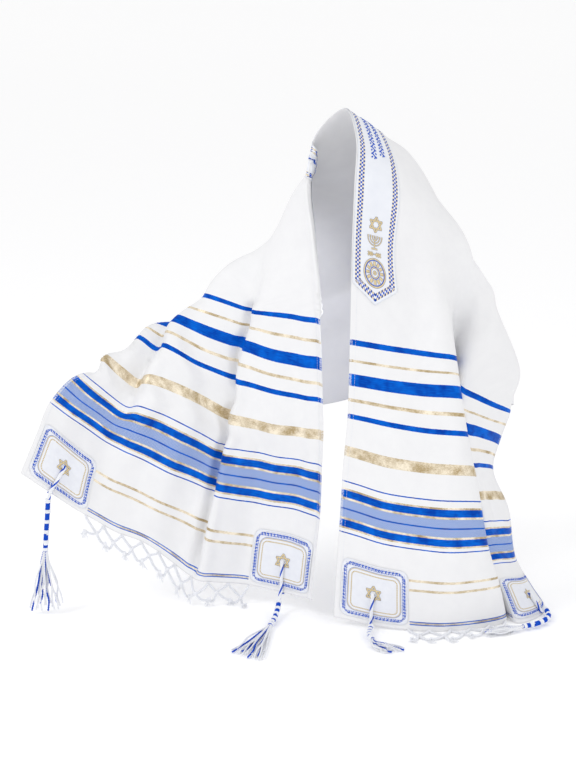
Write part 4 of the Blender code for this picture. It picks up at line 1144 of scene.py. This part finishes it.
def cord_route(side, hole_across, hem_across, end, looped):
    """Out of the eyelet, down the face and round the hem, in front of the cloth and behind."""
    stops = [(0.0, CORD_BEHIND - MM), (0.0, CORD_FRONT + MM)]
    if looped:
        stops = [(share, CORD_BEHIND) for share in (1.06, 0.9, 0.65, 0.35, 0.14)] + stops
    stops += [(share, CORD_FRONT) for share in (0.14, 0.35, 0.65, 0.9)]
    route = []
    for share, raised in stops:
        along = side * (EYELET_ALONG + (HALF_LENGTH - EYELET_ALONG) * share)
        across = hole_across + (hem_across - hole_across) * min(share, 1.0)
        route.append(on_cloth(along, across, raised))
    route = smooth_route(route + [end], 60)
    route[:, 2] = np.maximum(route[:, 2], FLOOR + CORD_CLEAR)
    return route


# %% [markdown]
# The head is drawn in three parts: a white core, blue windings close together along most of it,
# and a white double knot between two windings. The strands below spread from the last knot to
# their tips on the floor, each with its own waves. Sine waves with different lengths
# look loose enough, and come out the same every time.

# %% The tassels' paths
HEAD_SECTIONS, STRANDS = 5, 17
KNOT_RADIUS, KNOT_LENGTH, WINDING_RADIUS, WINDING_TURN = 4.3 * MM, 7.2 * MM, 3.6 * MM, 1.7 * MM
tassel_paths = {}
for corner, route in TASSELS.items():
    side, hole_across = CORNERS[corner]
    head = smooth_route(facing_wearer(np.array(route["head"]) * MM), 60)
    tips = facing_wearer(np.array(route["tips"]) * MM)
    long = walk(head)[-1]
    part = long / HEAD_SECTIONS
    knots = [wound(head, KNOT_RADIUS, 3.0 * MM, k * part, k * part + KNOT_LENGTH, k)
             for k in range(HEAD_SECTIONS)]
    knots.append(wound(head, KNOT_RADIUS, 2.8 * MM, long - 6 * MM, long, 2.0))
    windings = [wound(head, WINDING_RADIUS, WINDING_TURN, k * part + KNOT_LENGTH - 0.2 * MM,
                      (k + 1) * part, k + 1) for k in range(HEAD_SECTIONS)]
    ahead = head[-1] - head[-2]
    ahead /= np.linalg.norm(ahead)
    beside = tips[1] - tips[0]
    beside /= np.linalg.norm(beside)
    over = np.cross(ahead, beside)
    strands = {"white": [], "blue": []}
    for k in range(STRANDS):
        share = k / (STRANDS - 1)
        layer = over * (k * 7 % 5 - 2) * 0.9 * MM
        tip = tips[0] + (tips[1] - tips[0]) * share + ahead * 8 * MM * math.sin(2.3 * k)
        start = head[-1] + beside * (share - 0.5) * 5 * MM - ahead * 3 * MM
        bend = start + ahead * 22 * MM + beside * (share - 0.5) * 9 * MM + layer
        middle = (bend + tip) / 2 + beside * 5 * MM * math.sin(1.7 * k + 1) + layer * 1.5
        late = bend * 0.2 + tip * 0.8 + beside * 3 * MM * math.sin(2.9 * k) + layer
        strand = smooth_route([start, bend, middle, late, tip], 40)
        strand[:, 2] = np.maximum(strand[:, 2], FLOOR + STRAND_CLEAR)
        strands["blue" if k % 4 == 1 else "white"].append(strand)
    cord = cord_route(side, hole_across, route["hem"] * MM, head[3], route["looped"])
    tassel_paths[corner] = {
        "cord_white": [cord], "cord_blue": [cord], "core": [head], "windings": windings,
        "knots": knots, "strands_white": strands["white"], "strands_blue": strands["blue"]}
print({corner: len(paths["strands_white"]) + len(paths["strands_blue"])
       for corner, paths in tassel_paths.items()}, "free strands")

# %% The tassels' meshes: yarn, then ply radius, step and sides, and how the plies are laid
TASSEL_YARNS = {
    "cord_white": (white_yarn, 1.7, 1.5, 7, dict(offset=1.75, laid=3, rope=4, twist=36)),
    "cord_blue": (blue_yarn, 1.5, 1.5, 7, dict(offset=1.9, laid=1, rope=4, first=3, twist=36)),
    "core": (white_yarn, 1.7, 3, 8, dict(offset=1.5, laid=3, rope=3, twist=60)),
    "windings": (blue_yarn, 1.0, 1.6, 6, {}),
    "knots": (white_yarn, 1.55, 1.6, 7, {}),
    "strands_white": (white_yarn, 1.15, 2.2, 5, dict(offset=0.9, laid=2, rope=2, twist=9)),
    "strands_blue": (blue_yarn, 1.15, 2.2, 5, dict(offset=0.9, laid=2, rope=2, twist=9)),
}
tassel_pieces = {
    corner: [spin(f"tassel_{corner}_{part}", paths[part], yarn, radius, step, sides, **lay)
             for part, (yarn, radius, step, sides, lay) in TASSEL_YARNS.items()]
    for corner, paths in tassel_paths.items()}
print("tassel faces:", {c: sum(len(p.data.polygons) for p in v) for c, v in tassel_pieces.items()})

# %% [markdown]
# ## The knotted fringe
# Between the patches the cloth's warp threads leave the hem in twisted strands. Two neighbours
# meet in a knot, part again and meet their other neighbours in a lower row of knots, which
# leaves diamond holes. The last ends hang loose and fray. Each strand is a path from the
# hem: down under its own weight, and out over the floor once it touches it.

# %% Where the fringe hangs
FRINGE_FROM, FRINGE_STEP = 135 * MM, 330 * MM / 18
FRINGE_RUN = {"right": (-1, 18), "left": (1, 10)}
FIRST_ROW, SECOND_ROW = 21 * MM, 37 * MM
LEFT_LIE_ACROSS = np.array([135, 250, 318]) * MM
LEFT_LIE_ANGLE = np.radians([2, 6, 8])
SWAY = 0.12
KNOT_CLEAR = 3.6 * MM
KNOT_SPAN = np.linspace(-2.5, 3.5, 5) * MM


def fringe_place(side, across, down, clear=2.4 * MM):
    """A point of the fringe: across the cloth, and a distance along the strand from the hem."""
    across, down = np.broadcast_arrays(np.asarray(across, float), np.asarray(down, float))
    foot = on_cloth(np.full_like(across, side * HALF_LENGTH), across, 1.0 * MM)
    ahead = foot - on_cloth(np.full_like(across, side * HALF_LENGTH), across)
    ahead[..., 2] = 0
    ahead /= np.linalg.norm(ahead, axis=-1, keepdims=True)
    if side > 0:
        angle = np.interp(across, LEFT_LIE_ACROSS, LEFT_LIE_ANGLE)
        ahead = facing_wearer(np.stack([np.sin(angle), -np.cos(angle), 0 * angle], axis=-1))
    drop = np.minimum(down, np.maximum(0, foot[..., 2] - FLOOR - clear))
    place = foot + ahead * (down - drop + SWAY * drop)[..., None]
    place[..., 2] = np.maximum(place[..., 2] - drop, FLOOR + clear)
    return place


print("hem heights along the right fringe:", np.round(
    fringe_place(-1, np.linspace(0.135, 0.465, 6), 0.0)[:, 2] - FLOOR, 3))

# %% The fringe's paths: legs, knots and frayed ends
HAIRS = 18
rng = np.random.default_rng(7)
fringe_pieces = {}
for name, (side, steps) in FRINGE_RUN.items():
    legs, knot_turns, hairs = [], [], []
    across = FRINGE_FROM + FRINGE_STEP * np.arange(steps + 1)
    first_row = FIRST_ROW + rng.uniform(-6, 5, steps + 1) * MM
    second_row = SECOND_ROW + rng.uniform(-7, 6, steps + 1) * MM
    shift = rng.uniform(-5, 5, steps + 1) * MM
    t = np.linspace(0, 1, 12)
    for k in range(1, steps, 2):
        knot = across[k] + shift[k]
        for way in (-1, 1):
            root, low = across[k + way], second_row[k + way]
            legs.append(fringe_place(side, root + (knot - root) * t**1.3, first_row[k] * t))
            sag = (7 + 5 * math.sin(2.1 * k + way)) * MM * np.sin(math.pi * t)
            legs.append(fringe_place(side, knot + (root + shift[k + way] - knot) * t,
                                     first_row[k] + (low - first_row[k]) * t + sag))
        centre = fringe_place(side, knot, first_row[k] + KNOT_SPAN, KNOT_CLEAR)
        knot_turns.append(wound(centre, 2.3 * MM, 2.6 * MM, 0.2 * MM, 5.8 * MM, k))
    t = np.linspace(0, 1, 7)
    for k in range(0, steps + 1, 2):
        knot = across[k] + shift[k]
        centre = fringe_place(side, knot, second_row[k] + KNOT_SPAN, KNOT_CLEAR)
        knot_turns.append(wound(centre, 2.4 * MM, 2.6 * MM, 0.2 * MM, 5.9 * MM, k))
        for hair in range(HAIRS):
            reach = rng.uniform(8, 17) * MM
            lean = rng.uniform(-9, 9) * MM
            wave = rng.uniform(-1.5, 1.5) * MM * np.sin(t * 5)
            hairs.append(fringe_place(side, knot + lean * t**1.2 + wave,
                                      second_row[k] + reach * t))
    fringe_pieces[name] = [
        spin(f"fringe_{name}_strands", legs, white_yarn, 1.75, 1.3, 5, offset=1.4, laid=2,
             rope=2, twist=6.5),
        spin(f"fringe_{name}_knots", knot_turns, white_yarn, 1.5, 1.2, 6),
        spin(f"fringe_{name}_ends", hairs, white_yarn, 0.62, 1.8, 4)]
    print("fringe", name, [len(piece.data.polygons) for piece in fringe_pieces[name]], "faces")

# %% [markdown]
# ## Floor, light and camera
# A white cloth needs a bright, even room with one softer side: a floor that glows faintly like a
# light table, a pale sky all round, a large soft lamp high on the left and a weak one on the
# right. The real cloth is thin, and some light seeps through it into the hood. A small lamp
# inside stands for that light. The camera looks slightly down through a long lens, which keeps
# the proportions true.

# %% Floor and backdrop
stage_material, tree, shader = new_material(
    "white_light_table", Roughness=0.9, Emission_Strength=0.13, Emission_Color=linear("FFFFFF"))
paper = node(tree, "ShaderNodeTexNoise", {"Scale": 3.0})
tone = node(tree, "ShaderNodeMix", {0: paper, 6: linear("F7F7F8"), 7: linear("FBFBFB")},
            data_type="RGBA")
feed(tree, shader, {"Base Color": tone})
FLOOR_HALF, FLOOR_TOP = 30, FLOOR - 0.5 * MM
mesh = bpy.data.meshes.new("floor")
mesh.from_pydata([(x * FLOOR_HALF, y * FLOOR_HALF, FLOOR_TOP)
                  for x, y in ((-1, -1), (1, -1), (1, 1), (-1, 1))], [], [(0, 1, 2, 3)])
floor = bpy.data.objects.new("floor", mesh)
floor.data.materials.append(stage_material)
bpy.context.scene.collection.objects.link(floor)

# %% Light
scene = bpy.context.scene
scene.view_settings.view_transform = "Standard"
world = bpy.data.worlds.new("pale_room")
world.use_nodes = True
feed(world.node_tree, world.node_tree.nodes["Background"],
     {"Color": linear("FFFFFF"), "Strength": 0.88})
scene.world = world


def aim(holder, place, target):
    """Puts a lamp or camera at a place and points it at a target."""
    holder.location = place
    way = np.asarray(target, float) - np.asarray(place, float)
    flat = math.hypot(way[0], way[1])
    holder.rotation_euler = (math.atan2(flat, -way[2]), 0.0,
                             math.atan2(way[1], way[0]) - math.pi / 2)


for name, place, size, power, spread, target in (
        ("key", (-0.9, -2.9, 2.0), 1.0, 27.0, 180, (0.0, 0.0, -0.5)),
        ("fill", (3.0, -0.6, 0.8), 1.2, 12.0, 180, (0.0, 0.0, -0.5)),
        ("glow_through_cloth", (0.02, 0.11, -0.40), 0.12, 0.3, 140, (-0.18, -0.05, -0.45))):
    lamp = bpy.data.lights.new(name, "AREA")
    lamp.size = size
    lamp.energy = power
    lamp.spread = math.radians(spread)
    holder = bpy.data.objects.new(name, lamp)
    scene.collection.objects.link(holder)
    aim(holder, place, target)

# %% Camera
camera = bpy.data.cameras.new("camera")
camera.lens = 84.0
camera.sensor_width = 36.0
camera_holder = bpy.data.objects.new("camera", camera)
scene.collection.objects.link(camera_holder)
aim(camera_holder, (2.126, -2.265, 0.285), (-0.069, -0.069, -0.489))
scene.camera = camera_holder
print("camera at", [round(v, 2) for v in camera_holder.location], "lens", camera.lens)

# %% [markdown]
# ## Hand over
# Every piece rides on the rigid model's one body and stands for the plain piece that it covers.

# %% What each piece stands for
def stands_for(piece, node_name):
    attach(piece, "root")
    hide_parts(node_name)


stands_for(cloth, "shawl_cloth")
stands_for(band, "neckband")
for corner, patch in patches.items():
    stands_for(patch, "corner_patch_" + corner)
for node_name, pieces in ornaments.items():
    for piece in pieces:
        stands_for(piece, node_name)
for corner, pieces in tassel_pieces.items():
    for piece in pieces:
        stands_for(piece, "tassel_" + corner)
for name, pieces in fringe_pieces.items():
    for piece in pieces:
        stands_for(piece, "fringe_" + name)
